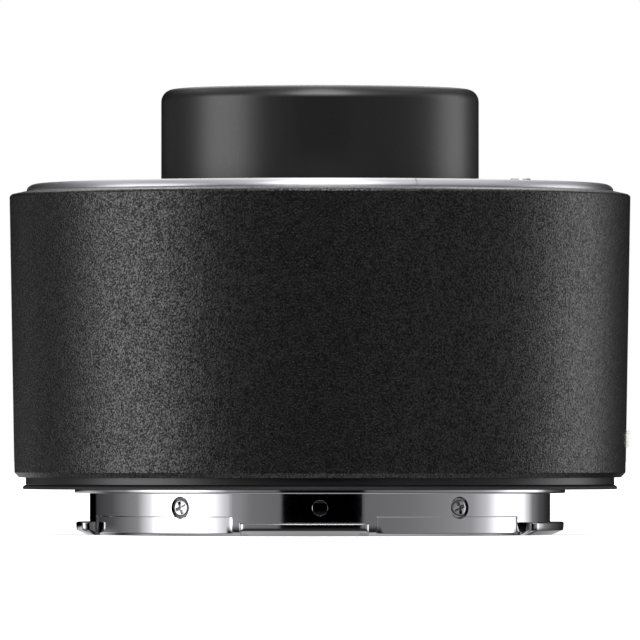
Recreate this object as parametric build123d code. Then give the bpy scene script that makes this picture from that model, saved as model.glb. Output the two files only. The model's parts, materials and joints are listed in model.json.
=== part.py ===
from build123d import *
import math
import os

# Camera teleconverter. Lengths are in millimetres and angles in degrees.
# Z is the optical axis and points to the lens; the origin lies on it in the plane of the rear seat.
# Angles round the axis are counted from the front of the body (-Y), towards the right (+X).

quarter_turn = 90
full_turn = 360
overrun = 1.0            # how far a cutting tool runs past what it cuts
cement_gap = 0.01        # layer between cemented glasses
screw_gap = 0.02         # play round a screw's shaft in the hole that it is driven into
slip_gap = 0.05          # radial play of a piece that slides or seats in another
assembly_gap = 0.1       # play between fixed pieces that are put together by hand
shaft_gap = 0.15         # play round a screw's shaft in the piece that it clamps

# Main sizes
flange_distance = 33.8  # from the rear seat to the front seat
body_radius = 34.0
body_taper = 0.54
body_foot_height = 1.72
nose_radius = 17.39
nose_top = 44.19

# Outer barrel
shell_wall = 1.7
shell_chamfer = 0.52
mouth_bevel_height = 0.34
rim_bevel_width = 0.28
rim_bevel_height = 0.21
rim_round = 0.26
mouth_drop = 0.78
lip_thickness = 0.76
lip_taper = 0.85
foot_lip_thickness = 0.76

# Front mount ring
rim_width = 1.88
ring_flange_thickness = 1.78
ring_round_width = 1.24
ring_round_height = 0.61
claw_reach = 1.51
claw_thickness = 3.01
skirt_gap = 0.09
skirt_wall = 0.33
throat_chamfer = 0.189
mount_turn = 40.0        # turn that locks a lens
lug_side_play = 1.2      # degrees on each side of a lug
mount_screw_count = 4
mount_screw_start = 70.0
front_screw_circle = 29.28
front_screw_head = 1.42
front_screw_head_depth = 0.85
front_screw_shaft = 0.76
front_screw_length = 4.91

# Leaf springs that draw a lens home
leaf_thickness = 0.24
leaf_set_back = 0.37
leaf_span = 24.0
leaf_rivet_radius = 0.33
leaf_rivet_inset = 0.76
leaf_rivet_depth = 0.85
leaf_rivet_angle = 9.0

# Rear bayonet
bayonet_radius = 25.2
bayonet_wall = 2.34
bayonet_depth = 4.54
bayonet_chamfer = 0.38
land_width = 1.65
land_height = 0.43
land_round = 0.161
rear_flange_top = 2.08
lug_reach = 1.5
lug_side_height = 0.89
lug_cone_height = 0.54
lug_foot_reach = 0.25
lug_end_round = 0.28
lug_angles = [(-19.4, 11.7), (61.0, 95.0), (150.0, 185.0), (250.0, 285.0)]
pocket_depth = 0.113
pocket_top = 2.49
pocket_angles = [(13.9, 58.0), (98.0, 146.0), (188.0, 247.0), (282.5, 338.1)]
rear_screw_circle = 28.71
rear_screw_head = 1.32
rear_screw_head_depth = 0.76
rear_screw_shaft = 0.76
rear_screw_length = 4.16
side_screw_angles = [-36.7, 36.7, 180.0]
side_screw_depth = 1.51
side_screw_head = 1.09
side_screw_head_height = 0.52
side_screw_shaft = 0.57
side_screw_tip_gap = 0.04
side_head_sink = 0.076
side_head_ring = 0.113
stop_pin_radius = 0.85
stop_pin_length = 1.61
stop_pin_depth = 1.51

# Lock pin and the lever that draws it in
lock_angle = 130.0
lock_circle = 29.09
lock_pin_radius = 1.18
lock_pin_proud = 1.1
lock_pin_round = 0.28
lock_travel = 1.89
lock_shoulder_radius = 1.46
lock_shoulder_height = 7.93
lock_tail_radius = 0.66
lock_tail_length = 4.72
lock_hole_radius = 1.28
pocket_floor_height = 17.0
lock_boss_radius = 2.46
lock_boss_foot = 13.22
lock_spring_mean = 0.99
lock_spring_wire = 0.132
lock_spring_turns = 9
peg_radius = 0.47
peg_height = 27.96
peg_slot_gap = 0.12
lever_turn = 7.0
lever_plate_width = 1.04
lever_shell_gap = 0.28
lever_plate_foot = 24.84
lever_plate_top = 29.28
lever_plate_start = 120.5
lever_plate_end = 141.0
lever_neck_start = 132.0
lever_neck_end = 140.0
lever_neck_foot = 26.82
window_play = 0.6        # degrees at each end of the window
window_height_play = 0.25
knob_stand_off = 0.19
knob_thickness = 1.79
knob_start = 123.8
knob_end = 148.2
knob_foot = 25.41
knob_top = 30.6
knob_round = 0.47
knob_rib_pitch = 2.0     # degrees
knob_rib_count = 4
knob_rib_radius = 0.33
knob_screw_angles = [133.7, 138.3]
knob_screw_head = 0.85
knob_screw_head_depth = 0.47
knob_screw_shaft = 0.47
knob_screw_length = 2.83
knob_screw_sink = 0.142

# Main frame
frame_wall_gap = 0.94
frame_inner_radius = 28.33
frame_rear_reach = 0.57
frame_rear_face = 2.27
frame_step_height = 2.83
frame_rear_thickness = 2.83
frame_front_bore = 27.34
frame_front_thickness = 2.46
ledge_inner_radius = 24.37
ledge_top = 27.39
ledge_thickness = 1.13
web_top = 22.67
web_thickness = 1.89
web_cell_gap = 0.04
web_window_inner = 21.63
web_window_outer = 25.88
web_window_width = 7.56
boss_radius = 1.42
boss_circle = 26.44
boss_angles = [-95.0, 0.0, 95.0]

# Rear cover and dust seal
cover_wall = 0.52
cover_shell_gap = 0.08
cover_step_width = 0.53
cover_step_height = 0.9
cover_foot = 0.57
cover_shelf_reach = 1.41
seal_reach = 0.84
seal_lip_top = 0.72
seal_foot = 0.43
seal_bevel_width = 0.26

# Rear baffle and contacts
baffle_wall = 1.23
baffle_foot = -4.16
baffle_top = 0.94
baffle_floor_foot = -1.13
baffle_floor_top = -0.189
aperture_width = 32.11
aperture_height = 25.5
aperture_corner = 3.78
rear_block_inner = 18.7
rear_block_half_angle = 41.0
rear_block_screw_angle = 34.0
contact_count = 12
contact_pitch = 4.2      # degrees
contact_circle = 20.31
pad_length = 1.79
pad_width = 1.04
pad_thickness = 0.28
pad_proud = 0.05

# Front plate and sprung contacts
front_plate_radius = 26.73
front_plate_nose_gap = 0.18
front_plate_thickness = 0.76
plate_screw_circle = 25.5
plate_screw_angles = [45.0, 165.0, 285.0]
plate_screw_head = 1.04
plate_screw_head_depth = 0.47
plate_screw_shaft = 0.57
plate_screw_length = 1.79
block_nose_gap = 1.12
block_outer = 22.29
block_half_angle = 30.0
block_top = 29.28
block_roof = 0.76
block_foot = 25.78
block_flange_outer = 23.23
block_flange_half_angle = 36.0
block_flange_thickness = 0.76
block_screw_angle = 33.0
block_screw_circle = 21.16
block_side_play = 0.3    # degrees
cap_thickness = 0.76
pin_radius = 0.38
pin_tip = 30.13
pin_collar_radius = 0.57
pin_collar_height = 0.57
pin_tail_radius = 0.24
pin_tail_length = 0.94
pin_hole_play = 0.06
pin_spring_mean = 0.42
pin_spring_wire = 0.066
pin_spring_turns = 5

# Nose barrel and the front glasses
nose_wall = 1.71
nose_round = 1.37
nose_inner_chamfer = 0.28
nose_seat_width = 1.14
nose_seat_top = 23.8
nose_flange_reach = 3.86
nose_flange_thickness = 1.51
cell_screw_circle = 19.74
nose_screw_angles = [60.0, 180.0, 300.0]
rear_cell_screw_angles = [0.0, 120.0, 240.0]
cell_screw_head = 1.13
cell_screw_head_height = 0.76
cell_screw_shaft = 0.66
glass_play = 0.04
first_glass_top = 41.46
first_glass_foot = 39.67
second_glass_top = 38.72
second_glass_foot = 37.02
third_glass_foot = 31.54
fourth_glass_top = 28.71
fourth_glass_foot = 27.39
front_ring_height = 1.42
first_glass_curve = 85.0
first_glass_hollow = 66.11
second_glass_curve = 51.94
second_glass_back = 35.89
third_glass_hollow = 188.89
fourth_glass_hollow = 66.11
fourth_glass_back = 47.22
fifth_glass_back = 37.78
spanner_slot_width = 1.13
spanner_slot_depth = 0.57

# Rear cell and the rear glasses
rear_cell_radius = 18.28
rear_cell_wall = 1.47
rear_cell_top = 21.72
rear_cell_foot = 5.29
rear_cell_seat = 19.83
rear_cell_flange_thickness = 1.51
rear_seat_width = 1.42
sixth_glass_foot = 18.32
seventh_glass_foot = 13.79
eighth_glass_top = 10.96
eighth_glass_foot = 8.12
rear_ring_height = 1.51
sixth_glass_hollow = 75.56
sixth_glass_back = 56.67
seventh_glass_back = 51.94
eighth_glass_hollow = 377.78
eighth_glass_back = 66.11

# Circuit board, flexible cables and index bead
board_inner = 21.53
board_outer = 27.77
board_half_angle = 114.0
board_foot = 8.5
board_thickness = 0.76
board_screw_head = 1.13
board_screw_head_height = 0.57
board_screw_shaft = 0.57
board_screw_length = 3.02
board_part_sizes = [     # angle, length, width and height of each part
    (50.0, 4.72, 4.72, 0.85),
    (66.0, 1.51, 0.76, 0.57),
    (72.0, 1.51, 0.76, 0.57),
    (-40.0, 2.83, 2.83, 0.76),
    (-52.0, 1.89, 1.13, 0.66),
    (-60.0, 1.89, 1.13, 0.66),
]
board_part_circle = 24.56
connector_length = 1.7
connector_width = 6.61
connector_height = 1.13
flex_angle = 16.0
flex_width = 5.67
flex_thickness = 0.189
flex_bend = 1.13
front_flex_circle = 21.96
front_connector_circle = 24.74
front_flex_turn_height = 17.0
front_flex_turn_drop = 3.31
rear_flex_circle = 20.59
rear_flex_top = 9.82
rear_connector_circle = 23.23
flex_slot_play = 0.3
bead_height = 5.95
bead_angle = 90.0
bead_radius = 0.94
bead_hole_depth = 1.23
bead_round = 0.33

# Cross recesses and pan heads, as shares of the screw's head
recess_width_share = 0.3
recess_reach_share = 1.25
recess_depth_share = 0.6
pan_top_share = 0.75
pan_side_share = 0.5

# Shared places that follow from the sizes above
body_foot_radius = body_radius - body_taper
rim_radius = body_radius - rim_bevel_width
mouth_height = flange_distance - mouth_drop
rim_height = mouth_height - mouth_bevel_height
rim_shoulder_height = rim_height - rim_bevel_height
ring_radius = body_radius - rim_width
bead_end_radius = body_radius
bead_seat_radius = body_radius - bead_hole_depth
knob_inner = body_radius + knob_stand_off
lever_neck_outer = knob_inner
knob_outer = knob_inner + knob_thickness
shell_bore = body_radius - shell_wall
frame_radius = shell_bore - frame_wall_gap
cover_radius = shell_bore - cover_shell_gap
cover_step_radius = cover_radius - cover_step_width
cover_inner_radius = cover_step_radius - cover_wall
rear_flange_radius = cover_inner_radius - assembly_gap
cover_shelf_radius = rear_flange_radius - cover_shelf_reach
frame_step_radius = cover_shelf_radius - slip_gap
seal_lip_radius = cover_step_radius + seal_reach
seal_neck_radius = seal_lip_radius - seal_bevel_width
lever_plate_outer = shell_bore - lever_shell_gap
lever_plate_inner = lever_plate_outer - lever_plate_width
lever_groove_radius = lever_plate_inner - assembly_gap
peg_end_radius = lever_plate_outer - slip_gap
claw_skirt_radius = frame_front_bore - skirt_gap
claw_gap_radius = claw_skirt_radius - skirt_wall
throat_radius = claw_gap_radius - claw_reach
leaf_inner_radius = throat_radius + leaf_set_back
leaf_outer_radius = claw_skirt_radius - assembly_gap
leaf_rivet_circle = leaf_inner_radius + leaf_rivet_inset
land_radius = bayonet_radius + land_width
lug_radius = bayonet_radius + lug_reach
lug_foot_radius = bayonet_radius + lug_foot_reach
lug_straight_depth = bayonet_depth - lug_cone_height
lug_top = lug_straight_depth - lug_side_height
bayonet_bore = bayonet_radius - bayonet_wall
frame_rear_bore = bayonet_bore - frame_rear_reach
baffle_inner_radius = bayonet_bore - baffle_wall
side_screw_tip = baffle_inner_radius + side_screw_tip_gap
nose_bore = nose_radius - nose_wall
nose_seat_bore = nose_bore - nose_seat_width
front_plate_bore = nose_radius + front_plate_nose_gap
nose_flange_radius = nose_radius + nose_flange_reach
block_inner = nose_radius + block_nose_gap
rear_cell_bore = rear_cell_radius - rear_cell_wall
rear_clear_radius = rear_cell_bore - rear_seat_width
web_bore = rear_cell_radius + web_cell_gap
ring_foot = flange_distance - ring_flange_thickness
claw_foot = flange_distance - claw_thickness
rear_block_screw_reach = -baffle_foot + baffle_floor_top - assembly_gap
web_foot = web_top - web_thickness
frame_rear_top = frame_rear_face + frame_rear_thickness
contact_angles = [(index - (contact_count - 1) / 2) * contact_pitch for index in range(contact_count)]
mount_screw_step = full_turn / mount_screw_count
mount_screw_angles = [mount_screw_start + index * mount_screw_step for index in range(mount_screw_count)]
gap_shifts = (mount_turn - lug_side_play, mount_turn + lug_side_play)
gap_angles = [(start + gap_shifts[0], end + gap_shifts[1]) for start, end in lug_angles]
next_gaps = gap_angles[1:] + [(gap_angles[0][0] + full_turn, gap_angles[0][1] + full_turn)]
claw_middles = [(gap[1] + following[0]) / 2 for gap, following in zip(gap_angles, next_gaps)]
leaf_rivet_angles = [angle + side * leaf_rivet_angle for angle in claw_middles for side in (-1, 1)]
rear_screw_sizes = (rear_screw_head, rear_screw_head_depth, rear_screw_shaft, rear_screw_length)
front_screw_sizes = (front_screw_head, front_screw_head_depth, front_screw_shaft, front_screw_length)
plate_screw_sizes = (plate_screw_head, plate_screw_head_depth, plate_screw_shaft, plate_screw_length)
block_screw_sizes = plate_screw_sizes[:-1] + (rear_block_screw_reach,)
knob_screw_sizes = (knob_screw_head, knob_screw_head_depth, knob_screw_shaft, knob_screw_length)


def turned(points):
    """A solid turned about Z from an outline of radius and height pairs."""
    return revolve(Plane.XZ * make_face(Polyline(*points, close=True)), Axis.Z)


def sector(inner, outer, foot, top, start, end):
    """A piece of a flat ring between two angles round the axis."""
    outline = [(inner, foot), (outer, foot), (outer, top), (inner, top)]
    face = Plane.XZ * make_face(Polyline(*outline, close=True))
    return Rot(0, 0, start - quarter_turn) * revolve(face, Axis.Z, revolution_arc=end - start)


def ring(inner, outer, foot, top):
    """A plain flat ring."""
    return turned([(inner, foot), (outer, foot), (outer, top), (inner, top)])


def rod(radius, foot, top):
    """A round rod along Z."""
    return Pos(0, 0, foot) * Cylinder(radius, top - foot, align=(Align.CENTER, Align.CENTER, Align.MIN))


def place(angle, circle=0, height=0):
    """A place round the axis, whose own X points outwards and whose own Z points up."""
    return Rot(0, 0, angle - quarter_turn) * Pos(circle, 0, height)


def radial_rod(radius, inner, outer, angle, height):
    """A round rod that points straight out from the axis."""
    return place(angle, 0, height) * Rot(0, quarter_turn, 0) * rod(radius, inner, outer)


def circle_edges(part, radius, height):
    """The round edges of a turned part at one radius and height."""
    edges = part.edges().filter_by(GeomType.CIRCLE)
    near = [edge for edge in edges if abs(edge.radius - radius) < cement_gap]
    return [edge for edge in near if abs(edge.arc_center.Z - height) < cement_gap]


def cross_recess(head, depth):
    """The cross that a screwdriver drives, centred on the head's face."""
    slot = Box(head * recess_reach_share, head * recess_width_share, 2 * depth * recess_depth_share)
    return slot + Rot(0, 0, quarter_turn) * slot


def countersunk_screw(head, depth, shaft, length):
    """A countersunk screw, its face at zero and its shaft downwards."""
    body = turned([(0, 0), (head, 0), (shaft, -depth), (shaft, -length), (0, -length)])
    return body - cross_recess(head, depth)


def countersink(head, depth, shaft, length, play):
    """The hole for a countersunk screw, open a little way above its face."""
    wide = head + play
    narrow = shaft + play
    mouth = [(0, overrun), (wide, overrun), (wide, 0)]
    return turned(mouth + [(narrow, -depth), (narrow, -length), (0, -length)])


def pan_screw(head, height, shaft, length):
    """A pan-headed screw, the seat of its head at zero and its shaft downwards."""
    outline = [(0, height), (head * pan_top_share, height), (head, height * pan_side_share), (head, 0)]
    body = turned(outline + [(shaft, 0), (shaft, -length), (0, -length)])
    return body - Pos(0, 0, height) * cross_recess(head, height)


def coil_spring(mean, wire, foot, top, turns):
    """A round-wire spring that just fills the height between its two seats."""
    rise = top - foot - wire - wire
    route = Helix(pitch=rise / turns, height=rise, radius=mean)
    section = Plane(origin=route @ 0, z_dir=route % 0) * Circle(wire)
    return Pos(0, 0, foot + wire) * sweep(section, path=route)


def bulge(reach, curve):
    """Height of a spherical cap of this reach, above zero where the glass bulges outwards."""
    return math.copysign(abs(curve) - math.sqrt(curve ** 2 - reach ** 2), curve)


def glass(rim, clear, foot, top, foot_curve, top_curve):
    """A lens element with a flat land round each face; a curve above zero bulges outwards."""
    half = clear / 2
    foot_arc = ThreePointArc(
        (0, foot - bulge(clear, foot_curve)),
        (half, foot - bulge(clear, foot_curve) + bulge(half, foot_curve)),
        (clear, foot),
    )
    rim_line = Polyline((clear, foot), (rim, foot), (rim, top), (clear, top))
    top_arc = ThreePointArc(
        (clear, top),
        (half, top + bulge(clear, top_curve) - bulge(half, top_curve)),
        (0, top + bulge(clear, top_curve)),
    )
    axis_line = Line(top_arc @ 1, foot_arc @ 0)
    return revolve(Plane.XZ * make_face(foot_arc + rim_line + top_arc + axis_line), Axis.Z)


def flat_strip(points, bends, angle):
    """A flexible flat cable that follows a route of radius and height pairs at one angle."""
    route = FilletPolyline(*[(radius, 0, height) for radius, height in points], radius=bends)
    start = Plane(origin=route @ 0, x_dir=(0, 1, 0), z_dir=route % 0)
    return place(angle) * sweep(start * Rectangle(flex_width, flex_thickness), path=route)


def make_outer_barrel():
    """The grained shell: tapered wall, bevelled mouth, and a lip inside each end that clamps it."""
    lip_radius = frame_radius + slip_gap
    outline = [
        (shell_bore, body_foot_height),
        (body_foot_radius - shell_chamfer, body_foot_height),
        (body_foot_radius, body_foot_height + shell_chamfer),
        (body_radius, rim_shoulder_height),
        (rim_radius, rim_height),
        (ring_radius + slip_gap, mouth_height),
        (ring_radius + slip_gap, ring_foot),
        (lip_radius, ring_foot),
        (lip_radius, ring_foot - lip_thickness),
        (shell_bore, ring_foot - lip_thickness - lip_taper),
        (shell_bore, frame_step_height + foot_lip_thickness),
        (lip_radius, frame_step_height + foot_lip_thickness),
        (lip_radius, frame_step_height),
        (shell_bore, frame_step_height),
    ]
    shell = turned(outline)
    shell = fillet(circle_edges(shell, body_radius, rim_shoulder_height), rim_round)
    window = sector(
        shell_bore - overrun,
        body_radius + overrun,
        lever_neck_foot - window_height_play,
        lever_plate_top + window_height_play,
        lever_neck_start - window_play,
        lever_neck_end + lever_turn + window_play,
    )
    bead_hole = radial_rod(bead_radius, bead_seat_radius, body_radius + overrun, bead_angle, bead_height)
    return shell - window - bead_hole


def make_index_bead():
    """The white alignment bead, set in the side of the shell."""
    bead = radial_rod(bead_radius, bead_seat_radius, bead_end_radius, bead_angle, bead_height)
    return fillet(bead.edges().sort_by(Axis.X)[-1], bead_round)


def make_rear_cover():
    """The smooth neck ring, clamped by its shelf between the bayonet's flange and the frame."""
    return turned([
        (cover_inner_radius, cover_foot),
        (cover_step_radius, cover_foot),
        (cover_step_radius, cover_step_height),
        (cover_radius, cover_step_height),
        (cover_radius, frame_step_height),
        (cover_shelf_radius, frame_step_height),
        (cover_shelf_radius, rear_flange_top),
        (cover_inner_radius, rear_flange_top),
    ])


def make_dust_seal():
    """The rubber lip, stretched over the cover's step."""
    return turned([
        (cover_step_radius, seal_foot),
        (seal_lip_radius, seal_foot),
        (seal_lip_radius, seal_lip_top),
        (seal_neck_radius, cover_step_height),
        (cover_step_radius, cover_step_height),
    ])


def rear_screw_place(angle):
    """The face of a rear mount screw, its own Z pointing down to the camera."""
    return place(angle, rear_screw_circle, land_height) * Rot(2 * quarter_turn, 0, 0)


def side_screw_place(angle):
    """The face of a radial bayonet screw, its own Z pointing outwards."""
    return place(angle, bayonet_radius - side_head_sink, -side_screw_depth) * Rot(0, quarter_turn, 0)


def make_rear_bayonet():
    """The chromed bayonet: flange, land, cylinder, four lugs and the shallow pockets between them."""
    body = turned([
        (bayonet_bore, -bayonet_depth),
        (bayonet_radius - bayonet_chamfer, -bayonet_depth),
        (bayonet_radius, -bayonet_depth + bayonet_chamfer),
        (bayonet_radius, 0),
        (land_radius, 0),
        (land_radius, land_height),
        (rear_flange_radius, land_height),
        (rear_flange_radius, rear_flange_top),
        (bayonet_bore, rear_flange_top),
    ])
    body = fillet(circle_edges(body, land_radius, 0), land_round)
    floor = bayonet_radius - pocket_depth
    outer = bayonet_radius + overrun
    for start, end in pocket_angles:
        body -= sector(floor, outer, -bayonet_depth - overrun, -pocket_top, start, end)
    for start, end in lug_angles:
        body += bayonet_lug(start, end)
    hole = countersink(*rear_screw_sizes, shaft_gap)
    for angle in mount_screw_angles:
        body -= rear_screw_place(angle) * hole
    for angle in side_screw_angles:
        body -= side_screw_hole(angle)
    stop_pin_foot = bayonet_radius - stop_pin_length
    body -= radial_rod(stop_pin_radius, stop_pin_foot, bayonet_radius + overrun, 0, -stop_pin_depth)
    body -= place(lock_angle, lock_circle) * rod(lock_hole_radius, -overrun, rear_flange_top + overrun)
    return body


def bayonet_lug(start, end):
    """One lug: flat on top, with a straight side and a cone below it, and rounded ends."""
    root = bayonet_radius - bayonet_chamfer
    outline = [
        (root, -lug_top),
        (lug_radius, -lug_top),
        (lug_radius, -lug_straight_depth),
        (lug_foot_radius, -bayonet_depth),
        (root, -bayonet_depth),
    ]
    face = Plane.XZ * make_face(Polyline(*outline, close=True))
    lug = Rot(0, 0, start - quarter_turn) * revolve(face, Axis.Z, revolution_arc=end - start)
    middles = [(edge, edge.center()) for edge in lug.edges().filter_by(Axis.Z)]
    outer = [edge for edge, middle in middles if math.hypot(middle.X, middle.Y) > bayonet_radius]
    return fillet(outer, lug_end_round)


def side_screw_hole(angle):
    """The counterbore and shaft hole of one radial screw."""
    head = rod(side_screw_head + side_head_ring, -side_screw_head_height, overrun)
    shaft = rod(side_screw_shaft + shaft_gap, side_screw_tip - bayonet_radius, 0)
    return side_screw_place(angle) * (head + shaft)


def make_side_screws():
    """The radial screws that hold the baffle in the bayonet."""
    length = bayonet_radius - side_head_sink - side_screw_head_height - side_screw_tip
    screw = pan_screw(side_screw_head, side_screw_head_height, side_screw_shaft, length)
    seat = Pos(0, 0, -side_screw_head_height)
    return Part() + [side_screw_place(angle) * seat * screw for angle in side_screw_angles]


def make_stop_pin():
    """The flush pin in the bayonet that stops its turn."""
    end = bayonet_radius - side_head_sink
    return radial_rod(stop_pin_radius, bayonet_radius - stop_pin_length, end, 0, -stop_pin_depth)


def make_rear_screws():
    """The four screws that hold the rear bayonet to the frame."""
    screw = countersunk_screw(*rear_screw_sizes)
    return Part() + [rear_screw_place(angle) * screw for angle in mount_screw_angles]


def make_rear_shim():
    """The thin ring that sets the flange distance."""
    shim = ring(bayonet_bore, cover_shelf_radius - assembly_gap, rear_flange_top, frame_rear_face)
    hole = rod(rear_screw_shaft + shaft_gap, 0, frame_rear_face + overrun)
    for angle in mount_screw_angles:
        shim -= place(angle, rear_screw_circle) * hole
    return shim


def make_rear_baffle():
    """The black light baffle inside the bayonet, with its rectangular aperture."""
    rim = bayonet_bore - slip_gap
    baffle = ring(baffle_inner_radius, rim, baffle_foot, baffle_top)
    baffle += rod(rim, baffle_floor_foot, baffle_floor_top)
    aperture = RectangleRounded(aperture_width, aperture_height, aperture_corner)
    cutter = extrude(aperture, baffle_top - baffle_floor_foot + overrun)
    baffle -= Pos(0, 0, baffle_floor_foot - overrun) * cutter
    slot = Box(flex_thickness + 2 * flex_slot_play, flex_width + 2 * flex_slot_play, 2 * overrun)
    baffle -= place(-flex_angle, rear_flex_circle, baffle_floor_foot) * slot
    hole_radius = side_screw_shaft + screw_gap
    hole_start = side_screw_tip - overrun
    for angle in side_screw_angles:
        baffle -= radial_rod(hole_radius, hole_start, bayonet_radius, angle, -side_screw_depth)
    for side in (-1, 1):
        hole = rod(plate_screw_shaft + screw_gap, -rear_block_screw_reach, 0)
        baffle -= block_screw_place(side) * hole
    return baffle


def make_rear_contact_block():
    """The black block that carries the contact pads under the baffle's floor."""
    outer = baffle_inner_radius - slip_gap
    half = rear_block_half_angle
    block = sector(rear_block_inner, outer, baffle_foot, baffle_floor_foot, -half, half)
    pocket = Box(pad_length + screw_gap, pad_width + screw_gap, 2 * (pad_thickness - pad_proud))
    for angle in contact_angles:
        block -= place(angle, contact_circle, baffle_foot) * pocket
    hole = countersink(*block_screw_sizes, shaft_gap)
    for side in (-1, 1):
        block -= block_screw_place(side) * hole
    return block


def block_screw_place(side):
    """The face of a screw at one end of the rear contact block, its own Z pointing down."""
    angle = side * rear_block_screw_angle
    return place(angle, contact_circle, baffle_foot) * Rot(2 * quarter_turn, 0, 0)


def make_rear_block_screws():
    """The two screws that hold the rear contact block to the baffle."""
    screw = countersunk_screw(*block_screw_sizes)
    return Part() + [block_screw_place(side) * screw for side in (-1, 1)]


def make_rear_pads():
    """The gold contact pads, a little proud of their block."""
    pad = Pos(0, 0, pad_thickness / 2 - pad_proud) * Box(pad_length, pad_width, pad_thickness)
    return Part() + [place(angle, contact_circle, baffle_foot) * pad for angle in contact_angles]


def make_main_frame():
    """The metal chassis: tube, rear flange, web for the optics, ledge and front flange."""
    frame = turned([
        (frame_rear_bore, frame_rear_face),
        (frame_step_radius, frame_rear_face),
        (frame_step_radius, frame_step_height),
        (frame_radius, frame_step_height),
        (frame_radius, ring_foot),
        (frame_front_bore, ring_foot),
        (frame_front_bore, ring_foot - frame_front_thickness),
        (frame_inner_radius, ring_foot - frame_front_thickness),
        (frame_inner_radius, ledge_top),
        (ledge_inner_radius, ledge_top),
        (ledge_inner_radius, ledge_top - ledge_thickness),
        (frame_inner_radius, ledge_top - ledge_thickness),
        (frame_inner_radius, web_top),
        (web_bore, web_top),
        (web_bore, web_foot),
        (frame_inner_radius, web_foot),
        (frame_inner_radius, frame_rear_top),
        (frame_rear_bore, frame_rear_top),
    ])
    boss = place(lock_angle, lock_circle) * rod(lock_boss_radius, lock_boss_foot, ledge_top)
    frame += boss & rod(frame_radius, lock_boss_foot, ledge_top)
    for angle in boss_angles:
        frame += place(angle, boss_circle) * rod(boss_radius, frame_rear_face, board_foot)
        hole = rod(board_screw_shaft + screw_gap, board_foot - board_screw_length, board_foot + overrun)
        frame -= place(angle, boss_circle) * hole
    window = Box(web_window_outer - web_window_inner, web_window_width, web_thickness + overrun)
    window_middle = (web_window_inner + web_window_outer) / 2
    frame -= place(flex_angle, window_middle, web_top - web_thickness / 2) * window
    return frame - lock_pin_cuts() - frame_screw_holes()


def lock_pin_cuts():
    """The lock pin's guide, the slot for its peg and the groove for the lever's plate."""
    guide = rod(lock_shoulder_radius + slip_gap, pocket_floor_height, ring_foot + overrun)
    guide = place(lock_angle, lock_circle) * guide
    slot_height = lock_travel + 2 * (peg_radius + peg_slot_gap)
    slot = Box(frame_radius - lock_circle + overrun, 2 * (peg_radius + peg_slot_gap), slot_height)
    slot_radius = (frame_radius + lock_circle + overrun) / 2
    guide += place(lock_angle, slot_radius, peg_height - lock_travel / 2) * slot
    return guide + sector(
        lever_groove_radius,
        frame_radius + overrun,
        lever_plate_foot - assembly_gap,
        lever_plate_top + assembly_gap,
        lever_plate_start - window_play,
        lever_plate_end + lever_turn + window_play,
    )


def frame_screw_holes():
    """The driven holes of the mount screws, the plate's screws and the optics' screws."""
    front_end = flange_distance - front_screw_length - assembly_gap
    front = rod(front_screw_shaft + screw_gap, front_end, flange_distance)
    rear = rod(rear_screw_shaft + screw_gap, 0, land_height + rear_screw_length + assembly_gap)
    ledge_foot = ledge_top - ledge_thickness
    plate = rod(plate_screw_shaft + screw_gap, ledge_foot - overrun, ledge_top + overrun)
    cell = rod(cell_screw_shaft + screw_gap, web_foot - overrun, web_top + overrun)
    holes = [place(angle, front_screw_circle) * front for angle in mount_screw_angles]
    holes += [place(angle, rear_screw_circle) * rear for angle in mount_screw_angles]
    holes += [place(angle, plate_screw_circle) * plate for angle in plate_screw_angles]
    cell_screw_angles = nose_screw_angles + rear_cell_screw_angles
    holes += [place(angle, cell_screw_circle) * cell for angle in cell_screw_angles]
    return Part() + holes


def make_front_ring():
    """The bright front mount ring: flange, claws and the gaps that let a lens's lugs in."""
    start = (ring_radius - ring_round_width, flange_distance)
    end = (ring_radius, flange_distance - ring_round_height)
    round_arc = TangentArc(start, end, tangent=(1, 0))
    lines = Polyline(
        end,
        (ring_radius, ring_foot),
        (claw_skirt_radius, ring_foot),
        (claw_skirt_radius, claw_foot),
        (throat_radius, claw_foot),
        (throat_radius, flange_distance - throat_chamfer),
        (throat_radius + throat_chamfer, flange_distance),
        start,
    )
    body = revolve(Plane.XZ * make_face(round_arc + lines), Axis.Z)
    top = flange_distance + overrun
    for start_angle, end_angle in gap_angles:
        inner = throat_radius - overrun
        body -= sector(inner, claw_gap_radius, claw_foot - overrun, top, start_angle, end_angle)
    hole = countersink(*front_screw_sizes, shaft_gap)
    for angle in mount_screw_angles:
        body -= place(angle, front_screw_circle, flange_distance) * hole
    body -= place(lock_angle, lock_circle) * rod(lock_pin_radius + slip_gap, claw_foot, top)
    hole = rod(leaf_rivet_radius + cement_gap, 0, claw_foot + leaf_rivet_depth)
    for angle in leaf_rivet_angles:
        body -= place(angle, leaf_rivet_circle) * hole
    return body


def make_front_screws():
    """The four screws that hold the front mount ring to the frame."""
    screw = Pos(0, 0, flange_distance) * countersunk_screw(*front_screw_sizes)
    return Part() + [place(angle, front_screw_circle) * screw for angle in mount_screw_angles]


def make_leaf_springs():
    """The spring leaves under the claws, which draw a lens home."""
    leaves = []
    foot = claw_foot - leaf_thickness
    for angle in claw_middles:
        start = angle - leaf_span / 2
        end = angle + leaf_span / 2
        leaf = sector(leaf_inner_radius, leaf_outer_radius, foot, claw_foot, start, end)
        for side in (-1, 1):
            hole = rod(leaf_rivet_radius + cement_gap, 0, flange_distance)
            leaf -= place(angle + side * leaf_rivet_angle, leaf_rivet_circle) * hole
        leaves.append(leaf)
    return Part() + leaves


def make_leaf_rivets():
    """The flush rivets that hold the leaves to the claws."""
    rivet = rod(leaf_rivet_radius, claw_foot - leaf_thickness, claw_foot + leaf_rivet_depth)
    return Part() + [place(angle, leaf_rivet_circle) * rivet for angle in leaf_rivet_angles]


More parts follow.
